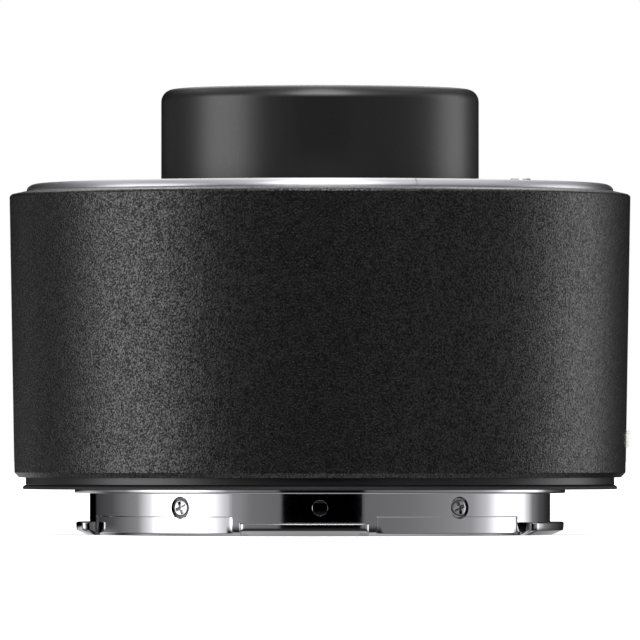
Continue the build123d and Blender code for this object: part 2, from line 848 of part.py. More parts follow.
def make_lock_pin():
    """The lock pin: round nose, guided shoulder and the tail inside its spring."""
    shoulder_foot = ring_foot - lock_shoulder_height
    pin = turned([
        (0, shoulder_foot - lock_tail_length),
        (lock_tail_radius, shoulder_foot - lock_tail_length),
        (lock_tail_radius, shoulder_foot),
        (lock_shoulder_radius, shoulder_foot),
        (lock_shoulder_radius, ring_foot),
        (lock_pin_radius, ring_foot),
        (lock_pin_radius, flange_distance + lock_pin_proud),
        (0, flange_distance + lock_pin_proud),
    ])
    pin = fillet(circle_edges(pin, lock_pin_radius, flange_distance + lock_pin_proud), lock_pin_round)
    pin = place(lock_angle, lock_circle) * pin
    return pin - radial_rod(peg_radius + cement_gap, lock_circle, frame_radius, lock_angle, peg_height)


def make_lock_pin_peg():
    """The peg across the lock pin, which the lever's slot drives."""
    return radial_rod(peg_radius, lock_circle, peg_end_radius, lock_angle, peg_height)


def make_lock_pin_spring():
    """The spring that pushes the lock pin out."""
    top = ring_foot - lock_shoulder_height
    spring = coil_spring(lock_spring_mean, lock_spring_wire, pocket_floor_height, top, lock_spring_turns)
    return place(lock_angle, lock_circle) * spring


def make_release_lever():
    """The lever's curved plate with its slanted slot, and the neck that carries the knob."""
    plate = sector(
        lever_plate_inner,
        lever_plate_outer,
        lever_plate_foot,
        lever_plate_top,
        lever_plate_start,
        lever_plate_end,
    )
    plate += sector(
        lever_plate_inner,
        lever_neck_outer,
        lever_neck_foot,
        lever_plate_top,
        lever_neck_start,
        lever_neck_end,
    )
    middle_radius = (lever_plate_inner + lever_plate_outer) / 2
    run = math.radians(lever_turn) * middle_radius
    length = math.hypot(run, lock_travel)
    slot = SlotCenterToCenter(length, 2 * (peg_radius + peg_slot_gap))
    slot = Rot(0, 0, math.degrees(math.atan2(lock_travel, run))) * slot
    cutter = extrude(Plane.YZ * slot, (lever_plate_outer - lever_plate_inner) / 2 + overrun, both=True)
    plate -= place(lock_angle - lever_turn / 2, middle_radius, peg_height - lock_travel / 2) * cutter
    for angle in knob_screw_angles:
        hole = rod(knob_screw_shaft + screw_gap, -knob_screw_length - assembly_gap, 0)
        plate -= knob_screw_place(angle) * hole
    return plate


def make_release_knob():
    """The ribbed knob outside the shell."""
    knob = sector(knob_inner, knob_outer, knob_foot, knob_top, knob_start, knob_end)
    outer = [edge for edge in knob.edges() if on_cylinder(edge, knob_outer)]
    knob = fillet(outer, knob_round)
    for side, base in ((-1, knob_start), (1, knob_end)):
        for index in range(knob_rib_count):
            angle = base - side * knob_rib_pitch * (index + 1)
            rib = rod(knob_rib_radius, knob_foot - overrun, knob_top + overrun)
            knob -= place(angle, knob_outer) * rib
    hole = countersink(*knob_screw_sizes, screw_gap)
    for angle in knob_screw_angles:
        knob -= knob_screw_place(angle) * hole
    return knob


def on_cylinder(edge, radius):
    """Whether both ends of an edge lie on a cylinder round the axis."""
    ends = [edge @ 0, edge @ 1]
    return all(abs(math.hypot(end.X, end.Y) - radius) < cement_gap for end in ends)


def knob_screw_place(angle):
    """The face of a knob screw, its own Z pointing outwards."""
    height = (lever_neck_foot + lever_plate_top) / 2
    return place(angle, knob_outer - knob_screw_sink, height) * Rot(0, quarter_turn, 0)


def make_knob_screws():
    """The two small screws that hold the knob to the lever's neck."""
    screw = countersunk_screw(*knob_screw_sizes)
    return Part() + [knob_screw_place(angle) * screw for angle in knob_screw_angles]


def make_front_plate():
    """The floor of the well between the nose and the front mount."""
    plate = ring(front_plate_bore, front_plate_radius, ledge_top, ledge_top + front_plate_thickness)
    plate -= sector(
        front_plate_bore - overrun,
        block_outer + slip_gap,
        ledge_top - overrun,
        ledge_top + front_plate_thickness + overrun,
        -block_half_angle - block_side_play,
        block_half_angle + block_side_play,
    )
    hole = countersink(*plate_screw_sizes, shaft_gap)
    for place_here in plate_screw_places():
        plate -= place_here * hole
    return plate


def plate_screw_places():
    """The faces of the screws into the ledge, and of those into the contact block's flange."""
    height = ledge_top + front_plate_thickness
    places = [place(angle, plate_screw_circle, height) for angle in plate_screw_angles]
    return places + [place(side * block_screw_angle, block_screw_circle, height) for side in (-1, 1)]


def make_plate_screws():
    """The small screws of the front plate."""
    screw = countersunk_screw(*plate_screw_sizes)
    return Part() + [here * screw for here in plate_screw_places()]


def make_front_contact_block():
    """The black block that guides the sprung contacts through the front plate."""
    block = sector(block_inner, block_outer, block_foot, block_top, -block_half_angle, block_half_angle)
    block += sector(
        block_inner,
        block_flange_outer,
        ledge_top - block_flange_thickness,
        ledge_top,
        -block_flange_half_angle,
        block_flange_half_angle,
    )
    cavity = rod(pin_radius + pin_hole_play, block_foot, block_top + overrun)
    cavity += rod(pin_collar_radius + pin_hole_play, block_foot - overrun, block_top - block_roof)
    for angle in contact_angles:
        block -= place(angle, contact_circle) * cavity
    for side in (-1, 1):
        hole = rod(plate_screw_shaft + screw_gap, block_foot, ledge_top + overrun)
        block -= place(side * block_screw_angle, block_screw_circle) * hole
    return block


def make_contact_cap():
    """The cap under the block, on which the contacts' springs stand."""
    cap_foot = block_foot - cap_thickness
    return sector(block_inner, block_outer, cap_foot, block_foot, -block_half_angle, block_half_angle)


def make_contact_pins():
    """The sprung contacts: round tip, collar under the block's roof, and tail inside the spring."""
    collar_top = block_top - block_roof
    collar_foot = collar_top - pin_collar_height
    pin = turned([
        (0, collar_foot - pin_tail_length),
        (pin_tail_radius, collar_foot - pin_tail_length),
        (pin_tail_radius, collar_foot),
        (pin_collar_radius, collar_foot),
        (pin_collar_radius, collar_top),
        (pin_radius, collar_top),
        (pin_radius, pin_tip),
        (0, pin_tip),
    ])
    pin = fillet(circle_edges(pin, pin_radius, pin_tip), pin_radius / 2)
    return Part() + [place(angle, contact_circle) * pin for angle in contact_angles]


def make_contact_springs():
    """The springs under the contacts."""
    top = block_top - block_roof - pin_collar_height
    spring = coil_spring(pin_spring_mean, pin_spring_wire, block_foot, top, pin_spring_turns)
    return Part() + [place(angle, contact_circle) * spring for angle in contact_angles]


def make_nose_barrel():
    """The smooth black tube that reaches into the lens, with its flange on the frame's web."""
    tube = turned([
        (nose_seat_bore, web_top),
        (nose_flange_radius, web_top),
        (nose_flange_radius, web_top + nose_flange_thickness),
        (nose_radius, web_top + nose_flange_thickness),
        (nose_radius, nose_top),
        (nose_bore + nose_inner_chamfer, nose_top),
        (nose_bore, nose_top - nose_inner_chamfer),
        (nose_bore, nose_seat_top),
        (nose_seat_bore, nose_seat_top),
    ])
    tube = fillet(circle_edges(tube, nose_radius, nose_top), nose_round)
    hole = rod(cell_screw_shaft + shaft_gap, web_foot, web_top + nose_flange_thickness + overrun)
    for angle in nose_screw_angles:
        tube -= place(angle, cell_screw_circle) * hole
    return tube


def make_nose_screws():
    """The screws that hold the nose's flange to the web."""
    length = nose_flange_thickness + web_thickness - assembly_gap
    screw = pan_screw(cell_screw_head, cell_screw_head_height, cell_screw_shaft, length)
    height = web_top + nose_flange_thickness
    return Part() + [place(angle, cell_screw_circle, height) * screw for angle in nose_screw_angles]


def spanner_ring(inner, outer, foot, top, slot_top):
    """A retaining ring with two slots for a spanner across one face."""
    body = ring(inner, outer, foot, top)
    slot = Box(2 * (outer + overrun), spanner_slot_width, 2 * spanner_slot_depth)
    return body - Pos(0, 0, slot_top) * slot


def make_front_retaining_ring():
    """The ring that holds the front glasses in the nose."""
    top = first_glass_top + front_ring_height
    return spanner_ring(nose_seat_bore, nose_bore - slip_gap, first_glass_top, top, top)


def make_front_spacer(foot, top):
    """A ring between two glasses in the nose."""
    return ring(nose_seat_bore, nose_bore - slip_gap, foot, top)


def make_front_glasses():
    """The five glasses in the nose, from the front, as two singles and a pair, and a pair."""
    bore = (nose_bore - glass_play, nose_seat_bore)
    pair_seam = second_glass_foot - cement_gap
    rear_seam = fourth_glass_foot - cement_gap
    return {
        "first_element": glass(
            *bore, first_glass_foot, first_glass_top, -first_glass_hollow, first_glass_curve
        ),
        "second_element": glass(
            *bore, second_glass_foot, second_glass_top, second_glass_back, second_glass_curve
        ),
        "third_element": glass(
            *bore, third_glass_foot, pair_seam, -third_glass_hollow, -second_glass_back
        ),
        "fourth_element": glass(
            *bore, fourth_glass_foot, fourth_glass_top, fourth_glass_back, -fourth_glass_hollow
        ),
        "fifth_element": glass(
            *bore, nose_seat_top, rear_seam, fifth_glass_back, -fourth_glass_back
        ),
    }


def make_rear_glasses():
    """The three glasses in the rear cell: a cemented pair and a single."""
    bore = (rear_cell_bore - glass_play, rear_clear_radius)
    pair_seam = sixth_glass_foot - cement_gap
    return {
        "sixth_element": glass(
            *bore, sixth_glass_foot, rear_cell_seat, sixth_glass_back, -sixth_glass_hollow
        ),
        "seventh_element": glass(
            *bore, seventh_glass_foot, pair_seam, seventh_glass_back, -sixth_glass_back
        ),
        "eighth_element": glass(
            *bore, eighth_glass_foot, eighth_glass_top, eighth_glass_back, -eighth_glass_hollow
        ),
    }


def make_rear_cell():
    """The tube under the web that holds the rear glasses."""
    flange_foot = web_foot - rear_cell_flange_thickness
    cell = turned([
        (rear_cell_bore, rear_cell_foot),
        (rear_cell_radius, rear_cell_foot),
        (rear_cell_radius, flange_foot),
        (nose_flange_radius, flange_foot),
        (nose_flange_radius, web_foot),
        (rear_cell_radius, web_foot),
        (rear_cell_radius, rear_cell_top),
        (rear_clear_radius, rear_cell_top),
        (rear_clear_radius, rear_cell_seat),
        (rear_cell_bore, rear_cell_seat),
    ])
    hole = rod(cell_screw_shaft + shaft_gap, flange_foot - overrun, web_foot + overrun)
    for angle in rear_cell_screw_angles:
        cell -= place(angle, cell_screw_circle) * hole
    return cell


def make_rear_cell_screws():
    """The screws that hold the rear cell to the web from below."""
    length = rear_cell_flange_thickness + web_thickness - assembly_gap
    screw = pan_screw(cell_screw_head, cell_screw_head_height, cell_screw_shaft, length)
    height = web_foot - rear_cell_flange_thickness
    upturned = Pos(0, 0, height) * Rot(2 * quarter_turn, 0, 0) * screw
    return Part() + [place(angle, cell_screw_circle) * upturned for angle in rear_cell_screw_angles]


def make_rear_spacer():
    """The ring between the two groups of glasses in the rear cell."""
    return ring(rear_clear_radius, rear_cell_bore - slip_gap, eighth_glass_top, seventh_glass_foot)


def make_rear_retaining_ring():
    """The ring that holds the rear glasses in their cell."""
    foot = eighth_glass_foot - rear_ring_height
    return spanner_ring(rear_clear_radius, rear_cell_bore - slip_gap, foot, eighth_glass_foot, foot)


def make_circuit_board():
    """The curved circuit board on the frame's bosses."""
    half = board_half_angle
    board = sector(board_inner, board_outer, board_foot, board_foot + board_thickness, -half, half)
    hole = rod(board_screw_shaft + shaft_gap, board_foot - overrun, board_foot + overrun)
    for angle in boss_angles:
        board -= place(angle, boss_circle) * hole
    return board


def make_board_screws():
    """The screws of the circuit board."""
    screw = pan_screw(board_screw_head, board_screw_head_height, board_screw_shaft, board_screw_length)
    height = board_foot + board_thickness
    return Part() + [place(angle, boss_circle, height) * screw for angle in boss_angles]


def make_board_parts():
    """The controller and the small parts soldered on the board."""
    parts = []
    for angle, length, width, height in board_part_sizes:
        body = Pos(0, 0, height / 2) * Box(width, length, height)
        parts.append(place(angle, board_part_circle, board_foot + board_thickness) * body)
    return Part() + parts


def make_board_connectors():
    """The two sockets that the flexible cables go into."""
    socket = Pos(0, 0, connector_height / 2) * Box(connector_length, connector_width, connector_height)
    height = board_foot + board_thickness
    front = place(flex_angle, front_connector_circle, height) * socket
    rear = place(-flex_angle, rear_connector_circle, height) * socket
    return Part() + [front, rear]


def make_front_flex():
    """The flexible cable from the sprung contacts down through the web to the board."""
    foot = board_foot + board_thickness + connector_height
    points = [
        (front_flex_circle, block_foot - cap_thickness),
        (front_flex_circle, front_flex_turn_height),
        (front_connector_circle, front_flex_turn_height - front_flex_turn_drop),
        (front_connector_circle, foot),
    ]
    return flat_strip(points, flex_bend, flex_angle)


def make_rear_flex():
    """The flexible cable from the rear contacts up past the board's edge and into its socket."""
    points = [
        (rear_flex_circle, baffle_floor_foot),
        (rear_flex_circle, rear_flex_top),
        (rear_connector_circle - connector_length / 2, rear_flex_top),
    ]
    return flat_strip(points, flex_bend, -flex_angle)


nodes = {
    "outer_barrel": make_outer_barrel(),
    "index_bead": make_index_bead(),
    "rear_cover": make_rear_cover(),
    "dust_seal": make_dust_seal(),
    "rear_bayonet": make_rear_bayonet(),
    "bayonet_side_screws": make_side_screws(),
    "bayonet_stop_pin": make_stop_pin(),
    "rear_mount_screws": make_rear_screws(),
    "rear_shim": make_rear_shim(),
    "rear_baffle": make_rear_baffle(),
    "rear_contact_block": make_rear_contact_block(),
    "rear_block_screws": make_rear_block_screws(),
    "rear_contact_pads": make_rear_pads(),
    "main_frame": make_main_frame(),
    "front_mount_ring": make_front_ring(),
    "front_mount_screws": make_front_screws(),
    "leaf_springs": make_leaf_springs(),
    "leaf_rivets": make_leaf_rivets(),
    "lock_pin": make_lock_pin(),
    "lock_pin_peg": make_lock_pin_peg(),
    "lock_pin_spring": make_lock_pin_spring(),
    "release_lever": make_release_lever(),
    "release_knob": make_release_knob(),
    "release_knob_screws": make_knob_screws(),
    "front_plate": make_front_plate(),
    "front_plate_screws": make_plate_screws(),
    "front_contact_block": make_front_contact_block(),
    "contact_cap": make_contact_cap(),
    "contact_pins": make_contact_pins(),
    "contact_springs": make_contact_springs(),
    "nose_barrel": make_nose_barrel(),
    "nose_screws": make_nose_screws(),
    "front_retaining_ring": make_front_retaining_ring(),
    "first_spacer": make_front_spacer(second_glass_top, first_glass_foot),
    "second_spacer": make_front_spacer(fourth_glass_top, third_glass_foot),
    "rear_cell": make_rear_cell(),
    "rear_cell_screws": make_rear_cell_screws(),
    "rear_spacer": make_rear_spacer(),
    "rear_retaining_ring": make_rear_retaining_ring(),
    "circuit_board": make_circuit_board(),
    "board_screws": make_board_screws(),
    "board_parts": make_board_parts(),
    "board_connectors": make_board_connectors(),
    "front_flex": make_front_flex(),
    "rear_flex": make_rear_flex(),
}
nodes.update(make_front_glasses())
nodes.update(make_rear_glasses())

os.makedirs("parts", exist_ok=True)
for name, shape in nodes.items():
    export_step(shape, os.path.join("parts", name + ".step"))
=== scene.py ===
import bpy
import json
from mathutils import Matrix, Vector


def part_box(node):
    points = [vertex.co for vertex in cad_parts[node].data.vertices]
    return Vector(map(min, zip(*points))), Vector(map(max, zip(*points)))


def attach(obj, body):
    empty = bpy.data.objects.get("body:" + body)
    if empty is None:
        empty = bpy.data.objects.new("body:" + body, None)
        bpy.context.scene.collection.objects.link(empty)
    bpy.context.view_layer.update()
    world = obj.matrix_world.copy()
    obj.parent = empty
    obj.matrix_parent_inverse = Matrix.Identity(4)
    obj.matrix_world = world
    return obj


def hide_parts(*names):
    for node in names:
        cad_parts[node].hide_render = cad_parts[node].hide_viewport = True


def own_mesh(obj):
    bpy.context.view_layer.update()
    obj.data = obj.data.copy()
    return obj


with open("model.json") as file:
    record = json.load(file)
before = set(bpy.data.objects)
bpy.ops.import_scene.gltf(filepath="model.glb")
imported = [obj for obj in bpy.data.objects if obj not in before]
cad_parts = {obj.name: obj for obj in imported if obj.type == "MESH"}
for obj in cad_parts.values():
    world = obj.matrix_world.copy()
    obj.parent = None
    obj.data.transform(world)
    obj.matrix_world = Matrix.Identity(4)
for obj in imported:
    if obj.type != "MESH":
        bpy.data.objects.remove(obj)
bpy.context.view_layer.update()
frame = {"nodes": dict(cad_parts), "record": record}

import json
import math

import bmesh
import bpy
from bpy.props import FloatProperty, FloatVectorProperty, IntProperty, PointerProperty
from mathutils import Matrix, Vector

bl_info = {
    "name": "Camera Teleconverter",
    "version": (1, 0, 0),
    "blender": (4, 5, 0),
    "location": "View3D > Sidebar > Converter",
    "description": "Dresses the packed teleconverter with its visible surfaces",
    "category": "Mesh",
}

# The optical axis is Z, the rear seat lies at zero, and the viewer stands on -Y.
# Angles round the axis are in degrees from -Y towards +X.
MM = 0.001
QUARTER_TURN, HALF_TURN, FULL_TURN = 90.0, 180.0, 360.0
MERGE = 1e-7
# How far a cutter stands out of what it cuts.
OVERRUN = 1 * MM
SCREW_SIDES, HOLE_SIDES = 40, 48
WHITE = (1.0, 1.0, 1.0, 1.0)
# The angle within which a wall stands almost upright.
STEEP = 0.08


def mm(*values):
    """Millimetres in metres."""
    return tuple(value * MM for value in values)


def run_angles(run):
    """The angles of a run of (start, step, count)."""
    start, step, count = run
    return [start + step * index for index in range(count)]


# Where the lugs of the rear bayonet and the pockets between them start and end
LUGS = ((-19.4, 11.7), (61.0, 95.0), (150.0, 185.0), (250.0, 285.0))
POCKETS = ((13.9, 58.0), (98.0, 146.0), (188.0, 247.0), (282.5, 338.1))
# Where the lock pin and the white bead stand, and the bottom of the bead's hole
LOCK_ANGLE = 130.0
BEAD_ANGLE, BEAD_FOOT = 90.0, 32.77 * MM

# Where the screws stand: single angles, or runs of (start, step, count)
SIDE_SCREW_ANGLES = (-36.7, 36.7, 180.0)
MOUNT_SCREW_RUN = (70.0, 90.0, 4)
NOSE_SCREW_RUN = (60.0, 120.0, 3)
KNOB_SCREW_ANGLES = (133.7, 138.3)
FLANGE_SCREW_CIRCLE, CELL_SCREW_CIRCLE = mm(28.71, 19.74)

# Screws: radius and depth or height of the head, radius and length of the shaft
FLANGE_SCREW = mm(1.32, 0.76, 0.76, 4.16)
RING_SCREW = mm(1.42, 0.85, 0.76, 4.91)
BLOCK_SCREW = mm(1.04, 0.47, 0.57, 3.871)
PLATE_SCREW = mm(1.04, 0.47, 0.57, 1.79)
KNOB_SCREW = mm(0.85, 0.47, 0.47, 2.83)
CELL_SCREW = mm(1.13, 0.76, 0.66, 3.3)
BOARD_SCREW = mm(1.13, 0.57, 0.57, 3.02)


# Sizes and colours that a user may change

def distance(name, description, millimetres):
    return FloatProperty(
        name=name, description=description, default=millimetres * MM,
        unit="LENGTH", subtype="DISTANCE", precision=5,
    )


def colour(name, description, code):
    return FloatVectorProperty(
        name=name, description=description, default=linear(code)[:3],
        subtype="COLOR", size=3, min=0.0, max=1.0,
    )


def linear(code):
    """A linear colour from an sRGB hex value."""
    channels = [int(code[i:i + 2], 16) / 255 for i in (1, 3, 5)]
    return tuple(
        c / 12.92 if c <= 0.04045 else ((c + 0.055) / 1.055) ** 2.4 for c in channels
    ) + (1.0,)


class BarrelSizes(bpy.types.PropertyGroup):
    radius: distance("Radius", "Outer radius of the barrel at its shoulder", 33.985)
    foot_radius: distance("Foot radius", "Outer radius of the barrel at its foot", 33.46)
    foot: distance("Foot height", "Height of the barrel's foot over the rear seat", 1.72)
    chamfer: distance("Foot chamfer", "Chamfer round the barrel's foot", 0.52)
    shoulder: distance("Shoulder height", "Height where the wall ends", 32.47)
    rim_radius: distance("Rim radius", "Radius at the top of the shoulder's bevel", 33.72)
    rim: distance("Rim height", "Height at the top of the shoulder's bevel", 32.68)
    mouth_radius: distance("Mouth radius", "Radius of the mouth round the mount ring", 32.17)
    mouth: distance("Mouth height", "Height of the barrel's mouth", 33.02)
    bore: distance("Bore radius", "Inner radius of the shell", 32.3)
    bead_height: distance("Bead height", "Height of the white bead's middle", 5.95)
    bead_radius: distance("Bead radius", "Radius of the white bead", 0.94)


class BayonetSizes(bpy.types.PropertyGroup):
    radius: distance("Radius", "Outer radius of the bayonet's cylinder", 25.2)
    bore: distance("Bore radius", "Inner radius of the bayonet", 22.86)
    depth: distance("Depth", "Reach of the bayonet below the seat", 4.54)
    land_radius: distance("Land radius", "Outer radius of the seat", 26.85)
    land: distance("Land height", "Height of the seat's step", 0.43)
    flange_radius: distance("Flange radius", "Outer radius of the hidden flange", 31.07)
    flange: distance("Flange height", "Top of the hidden flange", 2.08)
    lug_radius: distance("Lug radius", "Outer radius over the lugs", 26.7)
    lug_top: distance("Lug top", "Depth of the lugs' upper face", 3.11)
    lug_side: distance("Lug side", "Depth where the lugs' cone begins", 4.0)
    lug_foot: distance("Lug foot radius", "Radius at the foot of the lugs' cone", 25.45)
    pocket: distance("Pocket depth", "Depth of the pockets between the lugs", 0.113)
    pocket_top: distance("Pocket top", "Depth of the pockets' upper edge", 2.49)
    screw_depth: distance("Side screw depth", "Depth of the radial screws' middle", 1.51)
    screw_head: distance("Side screw head", "Head radius of the radial screws", 1.09)


class MountRingSizes(bpy.types.PropertyGroup):
    seat: distance("Seat height", "Height of the front seat", 33.8)
    radius: distance("Radius", "Outer radius of the front mount ring", 32.12)
    round_width: distance("Round width", "Width of the ring's rounded edge", 1.06)
    round_height: distance("Round height", "Height of the ring's rounded edge", 0.76)
    foot: distance("Flange foot", "Underside of the ring's flange", 32.02)
    throat: distance("Throat radius", "Inner radius of the claws", 25.41)
    gap: distance("Gap radius", "Inner radius between the claws", 26.92)
    skirt: distance("Skirt radius", "Outer radius of the claws' skirt", 27.25)
    claw_foot: distance("Claw foot", "Underside of the claws", 30.79)
    screw_circle: distance("Screw circle", "Circle of the four mount screws", 29.28)
    pin_circle: distance("Pin circle", "Circle of the lock pin", 29.09)
    pin_radius: distance("Pin radius", "Radius of the lock pin's nose", 1.18)


class NoseSizes(bpy.types.PropertyGroup):
    radius: distance("Radius", "Outer radius of the nose", 17.39)
    top: distance("Top", "Height of the nose's end", 44.19)
    round_radius: distance("Round", "Radius of the nose's rounded end", 1.37)
    bore: distance("Bore radius", "Inner radius of the nose", 15.68)
    foot: distance("Foot", "Underside of the hidden flange", 22.67)
    flange: distance("Flange thickness", "Thickness of the hidden flange", 1.51)
    flange_radius: distance("Flange radius", "Outer radius of the hidden flange", 21.25)


class ContactSizes(bpy.types.PropertyGroup):
    count: IntProperty(
        name="Contacts", description="Number of contacts in each row", default=12, min=1,
    )
    pitch: FloatProperty(name="Pitch", description="Angle between contacts in degrees", default=4.2)
    circle: distance("Circle", "Circle of the contacts", 20.31)


class FinishColours(bpy.types.PropertyGroup):
    paint: colour("Barrel paint", "Grained black paint of the barrel", "#0D0D0E")
    nose: colour("Nose finish", "Satin black of the nose and the knob", "#0C0C0E")
    chrome: colour("Bayonet plate", "Polished plate of the rear bayonet", "#E1E0E5")
    ring: colour("Ring plate", "Satin plate of the front mount ring", "#DEDDE2")
    bead: colour("Bead", "White alignment bead", "#EFEFEC")
    floor: colour("Floor", "Pale floor of the studio", "#F4F4F3")


# Shared helpers

def add(tree, kind, inputs=None, **settings):
    """Adds a node with its settings and with what goes into it."""
    node = tree.nodes.new(kind)
    for name, value in settings.items():
        setattr(node, name, value)
    for key, value in (inputs or {}).items():
        if isinstance(value, bpy.types.NodeSocket):
            tree.links.new(value, node.inputs[key])
        else:
            node.inputs[key].default_value = value
    return node


def ramp(tree, factor, stops):
    """A ramp of greys or colours over a factor from zero to one."""
    node = add(tree, "ShaderNodeValToRGB", {"Fac": factor})
    elements = node.color_ramp.elements
    while len(elements) < len(stops):
        elements.new(0.5)
    for element, (position, value) in zip(elements, stops):
        element.position = position
        element.color = value if isinstance(value, tuple) else (value, value, value, 1.0)
    return node.outputs["Color"]


def at(angle, circle, height=0.0):
    """A point round the axis."""
    turn = math.radians(angle)
    return Vector((circle * math.sin(turn), -circle * math.cos(turn), height))


def place(angle, circle=0.0, height=0.0):
    """A place round the axis whose X points outwards and whose Z points up."""
    turn = Matrix.Rotation(math.radians(angle - QUARTER_TURN), 4, "Z")
    return turn @ Matrix.Translation((circle, 0.0, height))


def outwards(angle, circle, height):
    """A place round the axis whose Z points outwards."""
    return place(angle, circle, height) @ Matrix.Rotation(math.radians(QUARTER_TURN), 4, "Y")


def quarter(steps):
    """The sine and cosine at each step of a quarter turn."""
    turns = [math.radians(QUARTER_TURN * step / steps) for step in range(steps + 1)]
    return [(math.sin(turn), math.cos(turn)) for turn in turns]


def rounded(corners, steps=4):
    """An outline of (radius, height) pairs; a third number rounds its corner."""
    outline = []
    for index, corner in enumerate(corners):
        point = Vector(corner[:2])
        if len(corner) < 3:
            outline.append(tuple(point))
            continue
        before = (Vector(corners[index - 1][:2]) - point).normalized()
        after = (Vector(corners[(index + 1) % len(corners)][:2]) - point).normalized()
        half = before.angle(after) / 2
        centre = point + (before + after).normalized() * (corner[2] / math.sin(half))
        first = point + before * (corner[2] / math.tan(half)) - centre
        side = 1.0 if before.cross(after) < 0 else -1.0
        whole = math.pi - 2 * half
        for step in range(steps + 1):
            arm = Matrix.Rotation(side * whole * step / steps, 2) @ first
            outline.append(tuple(centre + arm))
    return outline


def linked(name, build):
    """A mesh object from a bmesh, in the scene."""
    mesh = bpy.data.meshes.new(name)
    build.to_mesh(mesh)
    build.free()
    piece = bpy.data.objects.new(name, mesh)
    bpy.context.scene.collection.objects.link(piece)
    return piece


def solid(name, build):
    """A mesh object from a bmesh, closed and facing outwards."""
    bmesh.ops.remove_doubles(build, verts=build.verts, dist=MERGE)
    bmesh.ops.recalc_face_normals(build, faces=build.faces)
    return linked(name, build)


def join(name, *pieces):
    """One piece from several."""
    joined = bmesh.new()
    for piece in pieces:
        joined.from_mesh(piece.data)
        bpy.data.objects.remove(piece)
    return linked(name, joined)


def skin(name, loops, wrap=True):
    """A closed skin through loops of points; an open run of loops gets an end face at each end."""
    build = bmesh.new()
    rings = [[build.verts.new(point) for point in loop] for loop in loops]
    following = rings[1:] + rings[:1] if wrap else rings[1:]
    for first, second in zip(rings, following):
        for index in range(len(first)):
            after = (index + 1) % len(first)
            build.faces.new((first[index], first[after], second[after], second[index]))
    if not wrap:
        build.faces.new(rings[0])
        build.faces.new(rings[-1])
    return solid(name, build)


def turned(name, outline, steps=256, matrix=None):
    """A turned piece from a closed outline of (radius, height) pairs."""
    angles = [FULL_TURN * step / steps for step in range(steps)]
    piece = skin(name, [[at(angle, r, z) for r, z in outline] for angle in angles])
    if matrix is not None:
        piece.data.transform(matrix)
    return piece


def arc_block(name, outline, start, end):
    """A piece of a ring between two angles, from a closed outline of (radius, height) pairs."""
    count = math.ceil(end - start)
    angles = [start + (end - start) * index / count for index in range(count + 1)]
    return skin(name, [[at(angle, r, z) for r, z in outline] for angle in angles], wrap=False)


def rod(name, radius, foot, top, matrix):
    """A plain round rod, used to cut holes."""
    outline = [(0.0, foot), (radius, foot), (radius, top), (0.0, top)]
    return turned(name, outline, HOLE_SIDES, matrix)


def settle(piece):
    """Turns the evaluated piece into a plain mesh and drops its modifiers."""
    graph = bpy.context.evaluated_depsgraph_get()
    mesh = bpy.data.meshes.new_from_object(piece.evaluated_get(graph))
    piece.modifiers.clear()
    piece.data = mesh
    return piece


def carve(piece, *cutters):
    """Cuts the cutters out of the piece."""
    for cutter in cutters:
        cut = piece.modifiers.new("cut", "BOOLEAN")
        cut.operation = "DIFFERENCE"
        cut.solver = "EXACT"
        cut.object = cutter
    settle(piece)
    for cutter in cutters:
        bpy.data.objects.remove(cutter)
    return piece


def break_edges(piece, width):
    """Rounds every sharp edge a little."""
    bevel = piece.modifiers.new("edge", "BEVEL")
    bevel.limit_method = "ANGLE"
    bevel.angle_limit = math.radians(35)
    bevel.width = width
    bevel.segments = 2
    return settle(piece)


def smooth(piece):
    """Smooth shading that keeps sharp edges and leaves large faces flat beside small bevels."""
    piece.data.shade_smooth()
    piece.data.set_sharp_from_angle(angle=math.radians(32))
    weighted = piece.modifiers.new("weighted", "WEIGHTED_NORMAL")
    weighted.keep_sharp = True
    return settle(piece)


def dress(piece, body, slot_name, *nodes):
    """Gives a finished piece its material and its body, and hides the CAD nodes that it stands for.
    """
    smooth(piece)
    piece.data.materials.clear()
    piece.data.materials.append(finish(slot_name))
    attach(piece, body)
    if nodes:
        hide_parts(*nodes)
    return piece


def softened(node, width):
    """A merged copy of a CAD piece with its edges broken, as machining and moulding leave them."""
    source = frame["nodes"][node].data
    build = bmesh.new()
    corners = [build.verts.new(vertex.co) for vertex in source.vertices]
    for face in source.polygons:
        build.faces.new([corners[index] for index in face.vertices])
    bmesh.ops.remove_doubles(build, verts=build.verts, dist=10 * MERGE)
    flat = math.radians(0.4)
    bmesh.ops.dissolve_limit(build, angle_limit=flat, verts=build.verts, edges=build.edges)
    return break_edges(solid(node + "_dressed", build), width)


def dress_cad(node, edge, slot_name, body="body"):
    """Dresses a piece that keeps its CAD shape, its broken edges given in millimetres."""
    return dress(softened(node, edge * MM), body, slot_name, node)


# Geometry node trees for what repeats

TREES = {}


def new_tree(name, inputs):
    """An empty geometry tree: gives the tree, its named inputs and their identifiers."""
    tree = bpy.data.node_groups.new(name, "GeometryNodeTree")
    identifiers = {}
    for label, kind, value in inputs:
        socket = tree.interface.new_socket(label, in_out="INPUT", socket_type="NodeSocket" + kind)
        identifiers[label] = socket.identifier
        if value is not None:
            socket.default_value = value
    tree.interface.new_socket("Geometry", in_out="OUTPUT", socket_type="NodeSocketGeometry")
    return tree, add(tree, "NodeGroupInput").outputs, identifiers


def end_tree(tree, geometry, material):
    """Realizes the instances, sets the material and ends the tree."""
    real = add(tree, "GeometryNodeRealizeInstances", {"Geometry": geometry}).outputs["Geometry"]
    painted = add(tree, "GeometryNodeSetMaterial", {"Geometry": real, "Material": material})
    add(tree, "NodeGroupOutput", {"Geometry": painted.outputs["Geometry"]})


